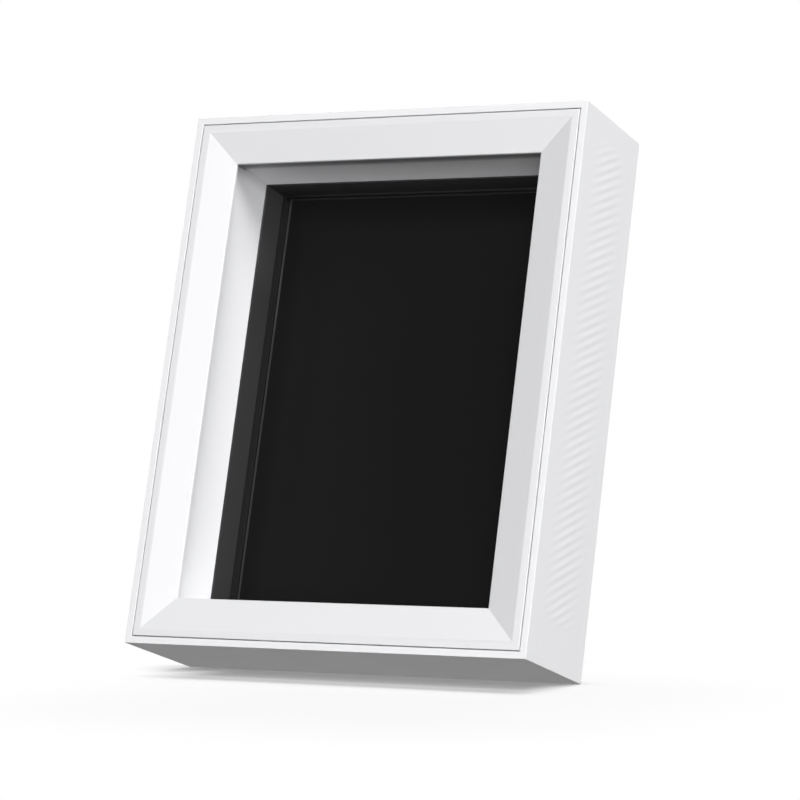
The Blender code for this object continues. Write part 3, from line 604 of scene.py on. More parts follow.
def upper_side(finish, point, start, end):
    """1 at the upper corners of the side walls, falling to 0 between two lengths below these."""
    under = below_corner(finish, point)
    return finish.falling(under, start, end) * under.above(0.0)


def lip_painted_shade(finish, point):
    """Where shade is painted on the white wall: under the top lip, and in the upper corners below it.
    """
    share = finish.falling(behind_front(finish, point), *LIP_SHADE)
    share = share * (1.0 - below_top(finish, point).above(TOP_WALL_END))
    return share + 0.4 * upper_side(finish, point, *CORNER_SHADE)


def step_painted_light(finish, point):
    """Where light is painted on the step beside the screen, making it paler towards its top."""
    return upper_side(finish, point, *STEP_PAINTED_LIGHT)


def moulded(name, shade, rough, grain, specular=0.5, painted_mask=None, painted_tone=None):
    """Moulded plastic with a fine spark-eroded grain and faint unevenness of tone and gloss.

    Where a function for painted light or shade is given, it says where the tone turns into a painted
    lighter or darker one.
    """
    finish = Finish(name, specular=specular)
    point = finish.place()
    cloud = finish.noise(point, 60.0, 3.0)
    fine = finish.noise(point, 2600.0)
    tone = finish.blend(cloud, dimmed(shade, 0.012), shade)
    # Painted light or shade, where a function for it is given
    if painted_mask:
        tone = finish.blend(painted_mask(finish, point), tone, painted_tone)
    return finish.surface(tone, roughness=rough - 0.05 + 0.07 * cloud + 0.05 * fine,
                          normal=finish.bump(fine, grain, 0.05 * MM))


def black_wall(shade):
    """Satin black wall round the screen.

    It carries painted shade on its ledge and at the rear of its top, and painted light that makes its
    upper sides paler.
    """
    finish = Finish("satin_black_wall", specular=0.3)
    point = finish.place()
    fine = finish.noise(point, 1800.0)
    depth = behind_front(finish, point)
    beside = below_corner(finish, point).above(0.0)
    # Painted shade on the ledge and at the rear of the top, painted light on the upper sides
    ledge_shade = finish.node("Clamp", values={"Value": (depth - LEDGE_START) / LEDGE_BLEND})
    ledge_shade = ledge_shade * (1.0 - 0.43 * beside * depth.above(LEDGE_EDGE))
    top_shade = 0.62 * (1.0 - beside) * (1.0 - finish.falling(depth, *WALL_SHADE))
    side = finish.blend(upper_side(finish, point, *WALL_PAINTED_LIGHT), shade, lifted(shade, 0.65))
    return finish.surface(finish.blend(ledge_shade.most(top_shade), side, dimmed(shade, 0.88)),
                          roughness=0.42 + 0.1 * fine, normal=finish.bump(fine, 0.06, 0.04 * MM))


def lens_sheet(shade):
    """Dark lens sheet with fine upright lenses and a low sheen."""
    finish = Finish("lens_sheet", specular=0.03, ior=1.49)
    point = finish.place()
    lenses = finish.lines(point, 500.0)
    cloud = finish.noise(point, 25.0)
    return finish.surface(finish.blend(cloud, dimmed(shade, 0.06), shade),
                          roughness=0.16 + 0.06 * cloud,
                          normal=finish.bump(lenses, 0.05, 0.02 * MM))


def rubber(name, shade):
    """Matt rubber with a dusty bloom."""
    finish = Finish(name, specular=0.35)
    point = finish.place()
    bloom = finish.noise(point, 140.0, 4.0)
    fine = finish.noise(point, 2200.0)
    return finish.surface(finish.blend(bloom, dimmed(shade, 0.25), shade),
                          roughness=0.78 + 0.14 * bloom,
                          normal=finish.bump(fine, 0.15, 0.05 * MM))


def brushed(name, shade, rough, stretch):
    """Metal with fine lines drawn along one axis."""
    finish = Finish(name, metallic=1.0)
    point = finish.place()
    drawn = finish.node("Mapping", values={"Vector": point, "Scale": stretch})
    lines = finish.noise(drawn, 900.0, 3.0)
    cloud = finish.noise(point, 90.0)
    return finish.surface(finish.blend(lines, dimmed(shade, 0.1), shade),
                          roughness=rough - 0.06 + 0.08 * lines + 0.06 * cloud,
                          normal=finish.bump(lines, 0.08, 0.03 * MM))


def foam():
    """Closed-cell foam."""
    finish = Finish("foam_black", specular=0.2, roughness=0.95)
    cells = finish.node("TexVoronoi", values={"Vector": finish.place(), "Scale": 2500.0})
    return finish.surface(finish.blend(cells, (0.012, 0.012, 0.012), (0.03, 0.03, 0.03)),
                          normal=finish.bump(cells, 0.4, 0.1 * MM))


def clear_sheet(name, shade, rough):
    """Optical sheet of the display stack."""
    finish = Finish(name, ior=1.49)
    haze = finish.noise(finish.place(), 45.0, 3.0)
    return finish.surface(finish.blend(haze, dimmed(shade, 0.04), shade),
                          roughness=rough + 0.05 * haze)


def circuit_board():
    """Green solder mask over raised tracks, with tinned pads."""
    finish = Finish("green_board")
    point = finish.place()
    flat = finish.node("Mapping", values={"Vector": point, "Rotation": (pi / 2, 0.0, 0.0)})
    tracks = finish.node("TexBrick", values={"Vector": flat, "Scale": 420.0, "Mortar Size": 0.012,
                                             "Brick Width": 0.9, "Row Height": 0.35}, output=1)
    pad = 1 - finish.node("TexVoronoi", values={"Vector": point, "Scale": 260.0}).above(0.16)
    mask = finish.blend(tracks, (0.012, 0.12, 0.045), (0.02, 0.2, 0.075))
    return finish.surface(finish.blend(pad, mask, (0.62, 0.62, 0.6)), roughness=0.42 - 0.12 * pad,
                          metallic=pad, normal=finish.bump(tracks, 0.3, 0.05 * MM))


def chip_case():
    """Moulded chip body with a fine grain."""
    finish = Finish("chip_epoxy", specular=0.4)
    fine = finish.noise(finish.place(), 3000.0)
    return finish.surface(finish.blend(fine, (0.015, 0.015, 0.016), (0.026, 0.026, 0.028)),
                          roughness=0.55 + 0.2 * fine, normal=finish.bump(fine, 0.2, 0.03 * MM))


def flex_film():
    """Amber film with copper conductors."""
    finish = Finish("flex_film")
    lines = finish.lines(finish.place(), 300.0)
    return finish.surface(finish.blend(lines, (0.32, 0.14, 0.02), (0.6, 0.29, 0.07)),
                          roughness=0.3 + 0.15 * lines, normal=finish.bump(lines, 0.1, 0.02 * MM))


FINISHES = {}


def make_finishes(colours):
    """Builds every finish once, by the word that the pieces use for it."""
    white = colours.bezel_white
    grey = colours.trim_grey
    FINISHES.update(
        shell=moulded("satin_white_shell", colours.shell_white, 0.46, 0.05, 0.38),
        bezel=moulded("satin_white_bezel", white, 0.40, 0.04),
        # The white wall carries painted shade under the top lip and in its upper corners.
        liner=moulded("matt_white_wall", white, 0.55, 0.06, 0.35, lip_painted_shade, dimmed(white, 0.6)),
        rear=moulded("grained_white_rear", colours.rear_white, 0.58, 0.22),
        key=moulded("grey_key", colours.key_grey, 0.45, 0.08),
        mark=moulded("dark_key_mark", colours.mark_grey, 0.5, 0.05),
        # The black wall carries painted shade on its ledge and top rear, and painted light on its
        # upper sides.
        wall=black_wall(colours.wall_black),
        lens=lens_sheet(colours.screen_black),
        # The step round the screen carries painted light, paler towards its top.
        trim=moulded("screen_trim_grey", grey, 0.35, 0.03, 0.5, step_painted_light, lifted(grey, 0.7)),
        rubber=rubber("grey_rubber", colours.rubber_grey),
        foot=moulded("pale_soft_foot", colours.foot_white, 0.48, 0.05, 0.38),
        steel=brushed("zinc_steel", colours.steel, 0.34, (1.0, 1.0, 0.05)),
        alloy=brushed("alloy_plate", (0.70, 0.71, 0.72), 0.42, (0.04, 1.0, 1.0)),
        gold=brushed("gold_contact", (0.72, 0.52, 0.22), 0.28, (0.05, 1.0, 1.0)),
        foam=foam(),
        glass=clear_sheet("panel_glass", (0.008, 0.009, 0.012), 0.06),
        diffuser=clear_sheet("diffuser_film", (0.86, 0.87, 0.88), 0.6),
        guide=clear_sheet("guide_acrylic", (0.8, 0.84, 0.87), 0.1),
        pipe=clear_sheet("light_pipe", (0.82, 0.88, 0.93), 0.12),
        board=circuit_board(),
        chip=chip_case(),
        flex=flex_film(),
    )


# Pieces.

KEYS = ("power", "previous", "play", "next")
NO_TURN = Matrix()          # for a piece that is modelled in its final place

# Rounding of small edges
FINE_ROUND = 0.04 * MM
METAL_ROUND = 0.12 * MM
WALL_ROUND = 0.12 * MM
LENS_ROUND = 0.2 * MM
KEY_ROUND = 0.2 * MM
LIGHT_ROUND = 0.25 * MM
PAD_ROUND = 0.35 * MM

POCKET_GAP = 0.06 * MM      # room round a foot in the bottom
LENS_BORDER = 2.0 * MM      # flat border of the lens sheet
TRIM_GAP = 0.02 * MM        # between the step round the screen and the lens sheet

# Grip ridges on the back of the stand
GRIP_HALF = 8.0 * MM
GRIP_SUNK = 0.5 * MM
GRIP_PROUD = 0.3 * MM
GRIP_UP = 5.0 * MM          # from the pad to the first ridge
GRIP_TALL = 0.9 * MM
GRIP_ROUND = 0.28 * MM
GRIP_PITCH = 2.2 * MM
GRIP_RIDGES = 5

# Treads cut into the back of the stand's pad
TREADS = 3
TREAD_FIRST = 2.0 * MM      # from the top of the pad
TREAD_PITCH = 1.6 * MM
TREAD_HALF = 0.3 * MM
TREAD_DEEP = 0.3 * MM
TREAD_PAST = 2.0 * MM       # how far the cutting block stands out behind

# Raised marks on the keys
MARK_RADIUS = 1.15 * MM
MARK_HALF = 0.12 * MM       # half the thickness, which is sunk
MARK_ROUND = 0.05 * MM
RING_RADIUS = 1.7 * MM
RING_WIDTH = 0.4 * MM
RING_GAP = 0.6 * MM         # half the opening in the ring
RING_SIDES = 40
BAR_HALF = 0.2 * MM
BAR_LOW = 0.4 * MM
BAR_HIGH = 2.0 * MM

# Shells of the plug sockets: wall and depth of the mouth, and the rounding or slope of the edges
CHARGE_MOUTH = (0.35 * MM, 6.2 * MM)
CHARGE_ROUND = 0.48         # for the shell's thickness
VIDEO_MOUTH = (0.4 * MM, 9.5 * MM)
VIDEO_SLOPE = 1.7 * MM
VIDEO_ROUND = 0.35 * MM
MOUTH_ROUND = 0.08 * MM
MOUTH_ANGLE = radians(60.0)

# Tongues of the plug sockets: thickness, and contacts on each face
CHARGE_TONGUE = (0.7 * MM, 9)
VIDEO_TONGUE = (1.4 * MM, 12)
TONGUE_SHARE = 0.36         # half of the tongue's width for the shell's whole width
TONGUE_GAP = 0.8 * MM       # from the shell's ends to the tongue's
TONGUE_ROUND = 0.15 * MM
CONTACT_SPAN = 1.8          # length of the row of contacts for half of the tongue's width
CONTACT_HALF = 0.3          # half of a contact's width for the pitch
CONTACT_PROUD = 0.04 * MM
CONTACT_BACK = 1.2 * MM     # from the tongue's rear end
CONTACT_TIP = 0.5 * MM      # from the tongue's front end
CONTACT_ROUND = 0.03 * MM


def rib_height(shape, depth, height):
    """How far the ribbed side stands out at a depth behind the front edge and a height."""
    middle = (shape.rib_front + shape.rib_back) / 2
    reach = (shape.rib_back - shape.rib_front) / 2
    across = cos(pi / 2 * min(1.0, abs(depth - middle) / reach)) ** 2
    end = min(height - shape.rib_low, shape.rib_high - height) / shape.rib_fade
    end = min(1.0, max(0.0, end))
    along = end * end * (3 - 2 * end)
    wave = cos(2 * pi * (height - shape.rib_shift - shape.rib_slope * depth) / shape.rib_pitch)
    return shape.rib_rise * across * along * (0.5 + 0.5 * wave)


def foot_room(shape, side):
    """Lowest and highest corner of a soft foot that lies in the bottom near the standing edge."""
    low, high = upright("foot_pad_" + side)
    return Vector((low.x, low.y, -shape.foot_proud)), high


def rib_sheet(shape, side):
    """One side's grid with the ribs raised in it."""
    deep = shape.rib_back - shape.rib_front
    tall = shape.rib_high - shape.rib_low
    middle = (side * HALF, (shape.rib_front + shape.rib_back) / 2,
              (shape.rib_low + shape.rib_high) / 2)
    clear_selection()
    bpy.ops.mesh.primitive_grid_add(x_subdivisions=shape.rib_columns,
                                    y_subdivisions=shape.rib_rows, size=1.0, location=middle,
                                    rotation=(pi / 2, 0.0, side * pi / 2))
    bpy.context.object.scale = (deep, tall, 1.0)
    sheet = named("rib_sheet")
    for vert in sheet.data.vertices:
        vert.co.x += side * rib_height(shape, vert.co.y, vert.co.z)
    return sheet


class PHOTOFRAME_OT_housing(Operator):
    """Models the white outer sleeve with rounded edges, inner ledge, foot pockets and side ribs"""

    bl_idname = "photo_frame.housing"
    bl_label = "Housing"

    def execute(self, context):
        shape = context.scene.photo_frame_shape
        back = DEEP + shape.rear_lip
        piece = start_block("housing_shell", HOUSING_LOW, (HALF, back, TALL))
        round_all(piece, shape.edge_round, 4)
        for at, sign, step in ((0.0, -1, shape.ledge_at),
                               (back, 1, shape.ledge_at + shape.ledge_thick - back)):
            pick_faces(piece, facing(Y, sign, at))
            inset_by(shape.wall - shape.edge_round)
            push((0.0, step, 0.0))
            inset_by(shape.ledge_reach)
            delete_faces()
        opening = shape.wall + shape.ledge_reach
        pick_edges(piece, lambda *ends: all(near(border_of(end, FRAME_MIDDLE, FRAME_HALF), opening)
                                            for end in ends))
        bpy.ops.mesh.bridge_edge_loops()
        pick_edges(piece, ring(0.0, shape.wall, FRAME_MIDDLE, FRAME_HALF))
        round_picked(shape.soft_edge, 2)
        clear_selection()
        gap = Vector((POCKET_GAP, POCKET_GAP, POCKET_GAP))
        for side in ("left", "right"):
            low, high = foot_room(shape, side)
            cut_away(piece, start_block("pocket", low - gap, high + gap))
        sheets = [rib_sheet(shape, side) for side in (-1, 1)]
        pick_faces(piece, lambda mid, normal: near(abs(mid.x), HALF) and abs(normal.x) > SQUARE)
        bpy.ops.mesh.delete(type="ONLY_FACE")
        join(piece, sheets)
        for side in (-1, 1):
            mesh = edit(piece, "EDGE")
            for edge in mesh.edges:
                edge.select_set(edge.is_boundary
                                and all(near(vert.co.x, side * HALF) for vert in edge.verts))
            bmesh.update_edit_mesh(piece.data)
            bpy.ops.mesh.fill(use_beauty=True)
        settle(piece, "frame", "shell", ("housing",))
        return {"FINISHED"}


class PHOTOFRAME_OT_bezel(Operator):
    """Models the bezel: flat rim, sloping face to a thin lip, and a hollow back"""

    bl_idname = "photo_frame.bezel"
    bl_label = "Bezel"

    def execute(self, context):
        shape = context.scene.photo_frame_shape
        low, high = upright("front_bezel")
        piece = start_block("bezel_frame", low, high)
        middle = (low + high) / 2
        half = (high - low) / 2
        lip_back = low.y + shape.bevel_depth + shape.lip
        opening = shape.rim_flat + shape.bevel_width
        pick_faces(piece, facing(Y, -1))
        inset_by(shape.rim_flat)
        inset_by(shape.bevel_width, shape.bevel_depth)
        push((0.0, shape.lip_face, 0.0))
        push((0.0, shape.lip - shape.lip_face, 0.0))
        spread(middle, lip_back, 1 + shape.lip_undercut / (half.x - opening),
               1 + shape.lip_undercut / (half.z - opening))
        delete_faces()
        pick_faces(piece, facing(Y, 1, high.y))
        inset_by(shape.skirt)
        push((0.0, lip_back - high.y, 0.0))
        inset_by(opening - shape.lip_undercut - shape.skirt)
        delete_faces()
        weld(piece)
        for at, inset, width, segments in (
                (low.y, 0.0, shape.soft_edge, 8),
                (low.y, shape.rim_flat, shape.crease_round, 3),
                (low.y + shape.bevel_depth, opening, shape.lip_round, 8)):
            pick_edges(piece, ring(at, inset, middle, half))
            round_picked(width, segments)
        settle(piece, "frame", "bezel", ("front_bezel",), smooth=radians(13.0))
        return {"FINISHED"}


class PHOTOFRAME_OT_tunnel(Operator):
    """Models the white wall, the lens sheet and the step round it, and softens the black wall"""

    bl_idname = "photo_frame.tunnel"
    bl_label = "Screen Tunnel"

    def execute(self, context):
        shape = context.scene.photo_frame_shape
        self.white_wall(shape)
        softened("screen_surround", "black_tunnel_wall", FINE_ROUND, 2, "frame",
                 "wall")
        low, high = upright("lens_array")
        lens = start_block("lens_pane", low, high)
        round_all(lens, LENS_ROUND, 2)
        pick_faces(lens, facing(Y, -1))
        inset_by(LENS_BORDER)
        settle(lens, "frame", "lens", ("lens_array",))
        self.screen_trim(shape, low, high)
        return {"FINISHED"}

    def white_wall(self, shape):
        """A white wall that starts straight behind the lip and curves in to the black wall."""
        edge = shape.liner_front - shape.liner_thick
        back = upright("shadow_liner")[1].y
        low = Vector((edge - HALF, shape.liner_start, edge))
        high = Vector((HALF - edge, back, TALL - edge))
        wall = start_block("white_tunnel_wall", low, high)
        pick_faces(wall, facing(Y, 1))
        inset_by(shape.liner_rear - edge)
        delete_faces()
        pick_faces(wall, facing(Y, -1))
        inset_by(shape.liner_thick)
        deep = back - shape.liner_start
        inset = shape.liner_front
        for number in range(1, shape.liner_steps + 1):
            share = number / shape.liner_steps
            bend = share * (shape.liner_straight + (1 - shape.liner_straight) * share)
            old_wide, old_tall = HALF - inset, TALL / 2 - inset
            inset = shape.liner_front + (shape.liner_rear - shape.liner_front) * bend
            push((0.0, deep / shape.liner_steps, 0.0))
            spread(FRAME_MIDDLE, shape.liner_start + deep * share, (HALF - inset) / old_wide,
                   (TALL / 2 - inset) / old_tall)
        delete_faces()
        weld(wall)
        pick_edges(wall, ring(back, shape.liner_rear, FRAME_MIDDLE, FRAME_HALF))
        round_picked(shape.liner_round, 4)
        soften_edges(wall, WALL_ROUND, 2)
        settle(wall, "frame", "liner", ("shadow_liner",))

    def screen_trim(self, shape, low, high):
        """A thin step that stands on the lens sheet just inside the black ledge."""
        margin = Vector((shape.trim_side, 0.0, shape.trim_end))
        outer_low = Vector((low.x, low.y - shape.trim_height, low.z)) + margin
        outer_high = Vector((high.x, low.y - TRIM_GAP, high.z)) - margin
        trim = start_block("screen_trim", outer_low, outer_high)
        middle = (outer_low + outer_high) / 2
        half = (outer_high - outer_low) / 2
        pick_faces(trim, facing(Y, 1))
        inset_by(shape.trim_edge + shape.trim_slope)
        delete_faces()
        pick_faces(trim, facing(Y, -1))
        inset_by(shape.trim_edge)
        push((0.0, outer_high.y - outer_low.y, 0.0))
        spread(middle, outer_high.y, 1 - shape.trim_slope / (half.x - shape.trim_edge),
               1 - shape.trim_slope / (half.z - shape.trim_edge))
        delete_faces()
        weld(trim)
        settle(trim, "frame", "trim")


class PHOTOFRAME_OT_rear(Operator):
    """Softens the rear cover with its hump, vents, stand recess and key holes"""

    bl_idname = "photo_frame.rear"
    bl_label = "Rear Cover"

    def execute(self, context):
        shape = context.scene.photo_frame_shape
        across = [0.0]
        across += [middle_of(node).x for node in ("rear_screw_1", "rear_screw_2", "power_button")]
        up = [middle_of(node).z for node in ("previous_button", "play_button", "next_button",
                                             "usb_c_port", "hdmi_port")]
        up.append(shape.vent_height)
        softened("rear_cover", "rear_shell", shape.soft_edge, 2, "frame", "rear",
                 across, up)
        return {"FINISHED"}


def copies(piece, number, step):
    """Repeats a piece along a step, each copy with its own mesh, and joins the row."""
    twins = []
    for place in range(1, number):
        make_active(piece)
        bpy.ops.object.duplicate()
        twin = bpy.context.object
        twin.location = Vector(step) * place
        apply_place()
        twins.append(twin)
    join(piece, twins)


class PHOTOFRAME_OT_stand(Operator):
    """Softens the kickstand, adds grip ridges and treads its rubber pad"""

    bl_idname = "photo_frame.stand"
    bl_label = "Kickstand"

    def execute(self, context):
        shape = context.scene.photo_frame_shape
        softened("kickstand_leg", "stand_leg", shape.soft_edge, 3, "kickstand", "rear")
        pad_low, pad_high = corners("kickstand_pad", STANDING)
        leg_back = corners("kickstand_leg", STANDING)[1].y
        grip = pad_high.z + GRIP_UP
        ridge = start_block("stand_grip", (-GRIP_HALF, leg_back - GRIP_SUNK, grip),
                            (GRIP_HALF, leg_back + GRIP_PROUD, grip + GRIP_TALL))
        round_all(ridge, GRIP_ROUND, 4)
        copies(ridge, GRIP_RIDGES, (0.0, 0.0, GRIP_PITCH))
        settle(ridge, "kickstand", "rear", (), STANDING)
        pad = merged_copy("kickstand_pad", "stand_pad")
        pick_faces(pad, facing(Z, -1))
        push((0.0, 0.0, -shape.floor_drop))
        soften_edges(pad, PAD_ROUND, 3)
        for number in range(TREADS):
            at = pad_high.z - TREAD_FIRST - number * TREAD_PITCH
            groove = start_block("groove", (2 * pad_low.x, leg_back - TREAD_DEEP, at - TREAD_HALF),
                                 (2 * pad_high.x, leg_back + TREAD_PAST, at + TREAD_HALF))
            groove.data.transform(STANDING)
            cut_away(pad, groove)
        settle(pad, "kickstand", "rubber", ("kickstand_pad",), NO_TURN)
        for node in ("hinge_pin", "hinge_washer_left", "hinge_washer_right"):
            softened(node, "turned_" + node, METAL_ROUND, 2, "frame", "steel")
        return {"FINISHED"}


def flat_mark(name, sides, radius, turn):
    """A flat many-sided mark in the plane of its face, facing up."""
    clear_selection()
    bpy.ops.mesh.primitive_circle_add(vertices=sides, radius=radius, fill_type="NGON",
                                      rotation=(0.0, 0.0, turn))
    return named(name)


def raise_mark(mark):
    """Gives a flat mark its thickness, half of it sunk, with softened edges."""
    apply_modifier(mark, "SOLIDIFY", thickness=2 * MARK_HALF, offset=0.0)
    soften_edges(mark, MARK_ROUND, 2)


class PHOTOFRAME_OT_keys(Operator):
    """Softens the four keys and sets raised marks on them"""

    bl_idname = "photo_frame.keys"
    bl_label = "Keys"

    def execute(self, context):
        for key in KEYS:
            softened(key + "_button", key + "_key_cap", KEY_ROUND, 3, key + "_key",
                     "key")
        side = Matrix.Rotation(-pi / 2, 4, "Z") @ Matrix.Rotation(pi / 2, 4, "X")
        for key, turn in (("previous", 0.0), ("play", -pi / 2), ("next", pi)):
            mark = flat_mark(key + "_mark", 3, MARK_RADIUS, turn)
            raise_mark(mark)
            at = middle_of(key + "_button")
            at.x = upright(key + "_button")[0].x
            settle(mark, key + "_key", "mark", (),
                   LEANING @ Matrix.Translation(at) @ side)
        self.power_mark()
        return {"FINISHED"}

    def power_mark(self):
        """An open ring and a bar on the power key."""
        mark = flat_mark("power_mark", RING_SIDES, RING_RADIUS, 0.0)
        pick_faces(mark, lambda mid, normal: True)
        inset_by(RING_WIDTH)
        delete_faces()
        pick_faces(mark, lambda mid, normal: mid.y > 0 and abs(mid.x) < RING_GAP)
        delete_faces()
        raise_mark(mark)
        bar = start_block("power_bar", (-BAR_HALF, BAR_LOW, -MARK_HALF),
                          (BAR_HALF, BAR_HIGH, MARK_HALF))
        soften_edges(bar, MARK_ROUND, 2)
        join(mark, [bar])
        at = middle_of("power_button")
        at.y = upright("power_button")[1].y
        rear = Matrix.Rotation(pi, 4, "Z") @ Matrix.Rotation(pi / 2, 4, "X")
        settle(mark, "power_key", "mark", (),
               LEANING @ Matrix.Translation(at) @ rear)


class PHOTOFRAME_OT_sockets(Operator):
    """Models the two plug sockets with folded shells, tongues and contacts"""

    bl_idname = "photo_frame.sockets"
    bl_label = "Sockets"

    def execute(self, context):
        low, high = upright("usb_c_port")
        shell = start_block("charge_socket", low, high)
        pick_edges(shell, lambda a, b: not near(a.x, b.x))
        round_picked(CHARGE_ROUND * (high.y - low.y), 8)
        self.open_mouth(shell, high.x, *CHARGE_MOUTH)
        settle(shell, "frame", "steel", ("usb_c_port",))
        self.tongue("charge", low, high, *CHARGE_TONGUE)
        low, high = upright("hdmi_port")
        shell = start_block("video_socket", low, high)
        pick_edges(shell, lambda a, b: not near(a.x, b.x) and near(a.y, high.y))
        round_picked(VIDEO_SLOPE, 1)
        pick_edges(shell, lambda a, b: not near(a.x, b.x))
        round_picked(VIDEO_ROUND, 3)
        self.open_mouth(shell, high.x, *VIDEO_MOUTH)
        settle(shell, "frame", "steel", ("hdmi_port",))
        self.tongue("video", low, high, *VIDEO_TONGUE)
        return {"FINISHED"}

    def open_mouth(self, shell, at, wall, deep):
        """Hollows a shell from its mouth, down to a wall and a depth."""
        pick_faces(shell, facing(X, 1, at))
        inset_by(wall)
        push((-deep, 0.0, 0.0))
        soften_edges(shell, MOUTH_ROUND, 2, MOUTH_ANGLE)

    def tongue(self, word, low, high, thick, contacts):
        """The dark tongue in a socket and the contacts along both of its faces."""
        middle = (low + high) / 2
        reach = TONGUE_SHARE * (high.z - low.z)
        start = low.x + TONGUE_GAP
        end = high.x - TONGUE_GAP
        tongue = start_block(word + "_tongue", (start, middle.y - thick / 2, middle.z - reach),
                             (end, middle.y + thick / 2, middle.z + reach))
        round_all(tongue, TONGUE_ROUND, 2)
        settle(tongue, "frame", "chip")
        pitch = CONTACT_SPAN * reach / contacts
        first = middle.z - pitch * (contacts - 1) / 2
        half = thick / 2 + CONTACT_PROUD
        wide = CONTACT_HALF * pitch
        strip = start_block(word + "_contacts", (start + CONTACT_BACK, middle.y - half, first - wide),
                            (end - CONTACT_TIP, middle.y + half, first + wide))
        round_all(strip, CONTACT_ROUND, 1)
        copies(strip, contacts, (0.0, 0.0, pitch))
        settle(strip, "frame", "gold")


class PHOTOFRAME_OT_feet(Operator):
    """Models the two soft feet"""

    bl_idname = "photo_frame.feet"
    bl_label = "Feet"

    def execute(self, context):
        shape = context.scene.photo_frame_shape
        for side in ("left", "right"):
            foot = start_block("rubber_foot_" + side, *foot_room(shape, side))
            soften_edges(foot, FINE_ROUND, 2)
            settle(foot, "frame", "foot", ("foot_pad_" + side,))
        return {"FINISHED"}


class PHOTOFRAME_OT_screws(Operator):
    """Softens the screw heads and the status light that show at the back"""

    bl_idname = "photo_frame.screws"
    bl_label = "Rear Screws"

    def execute(self, context):
        for number in range(1, 5):
            softened(f"rear_screw_{number}", f"cover_screw_{number}", METAL_ROUND, 2, "frame",
                     "steel")
        softened("status_light", "status_lens", LIGHT_ROUND, 3, "frame", "pipe")
        return {"FINISHED"}


# The finish of every CAD node that is shown as it is.
KEPT = {
    "foam": ["display_gasket"],
    "glass": ["lcd_panel"],
    "diffuser": ["diffuser_sheet"],
    "guide": ["light_guide"],
    "steel": ["backlight_tray"] + [f"{plate}_screw_{number}" for plate in ("chassis", "board")
                                   for number in range(1, 5)],
    "alloy": ["chassis_plate", "heat_sink"],
    "board": ["main_board"],
    "chip": ["processor_chip", "memory_chip_1", "memory_chip_2", "display_connector"]
            + ["switch_" + key for key in KEYS],
    "flex": ["display_flex"],
    "key": ["plunger_" + key for key in KEYS],
}


class PHOTOFRAME_OT_kept(Operator):
    """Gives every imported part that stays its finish"""

    bl_idname = "photo_frame.kept"
    bl_label = "Packed Parts"

    def execute(self, context):
        for finish, nodes in KEPT.items():
            for node in nodes:
                materials = NODES[node].data.materials
                materials.clear()
                materials.append(FINISHES[finish])
        return {"FINISHED"}


def direction(turn, height):
    """Unit vector towards a place round from the front and above the floor."""
    return Vector((sin(turn) * cos(height), -cos(turn) * cos(height), sin(height)))


LAMP_TARGET = Vector((0.0, 0.0, 0.1))
LAMP_AWAY = 3.2
# Each lamp: its turn and height in degrees, its width and length, the piece it is linked to, and
# whether it lights that piece alone or all but that piece.
LAMPS = {
    "front": (20.0, 16.0, 1.8, 1.8, "floor", "EXCLUDE"),
    "right": (75.0, 30.0, 1.2, 1.2, "floor", "EXCLUDE"),
    "low": (30.0, 6.0, 1.2, 1.2, "floor", "EXCLUDE"),
    "left": (-15.0, 6.0, 1.2, 1.2, "floor", "EXCLUDE"),
    "bounce": (46.0, -8.0, 1.2, 1.2, "floor", "EXCLUDE"),
    "rear": (196.0, 8.0, 1.8, 1.8, "floor", "EXCLUDE"),
    "side": (-116.0, 12.0, 1.6, 1.6, "floor", "EXCLUDE"),
    "well": (0.0, 62.0, 1.2, 1.2, "white_tunnel_wall", "INCLUDE"),
    "floor_top": (27.0, 84.0, 2.4, 2.4, "floor", "INCLUDE"),
    "floor_front": (27.0, 26.0, 0.3, 1.3, "floor", "INCLUDE"),
}
# These would show as a burnt-out highlight on the top face.
NOT_MIRRORED = ("right", "rear", "side")

# Rectangles on the floor, each with its middle and its half size: what the frame and its stand shade,
# and the place in front where shade is painted.
UNDER_FRAME = ((0.007, -0.038, 0.0), (0.059, 0.018, 1.0))
ALONG_EDGE = ((0.0, -0.015, 0.0), (0.07, 0.003, 1.0))
UNDER_STAND = ((0.0, 0.024, 0.0), (0.02, 0.038, 1.0))
PAINTED_SHADE_IN_FRONT = ((0.045, -0.1, 0.0), (0.03, 0.04, 1.0))
FLOOR_SIZE = 12.0
FLOOR_GREY = (0.9, 0.9, 0.9)
SHADE_SHARE = 0.78          # share of its own light and shadow that the floor keeps in the shade
SHADE_REACH = 0.032         # how far round the shade that share falls to nothing
FRONT_PAINTED_SHADE = 0.055         # how much the painted shade darkens the place in front
FRONT_REACH = 0.12          # how far round that place the painted shade falls to nothing
STANDING_AT = -0.012        # depth of the standing edge
SOONER = 3.0                # how much sooner the shade ends behind that edge


def add_softbox(name, power, turn, height, wide, tall, piece, state):
    """An area lamp that faces the frame and is linked to one piece."""
    lamp = bpy.data.lights.new(name, "AREA")
    lamp.shape = "RECTANGLE"
    lamp.size = wide
    lamp.size_y = tall
    lamp.energy = power
    box = bpy.data.objects.new(name, lamp)
    towards = direction(radians(turn), radians(height))
    box.location = LAMP_TARGET + LAMP_AWAY * towards
    box.rotation_euler = (-towards).to_track_quat("-Z", "Y").to_euler()
    scene = bpy.context.scene
    scene.collection.objects.link(box)
    lit = bpy.data.collections.new(name + "_reach")
    lit.objects.link(scene.objects[piece])
    box.light_linking.receiver_collection = lit
    lit.collection_objects[0].light_linking.link_state = state
    return box


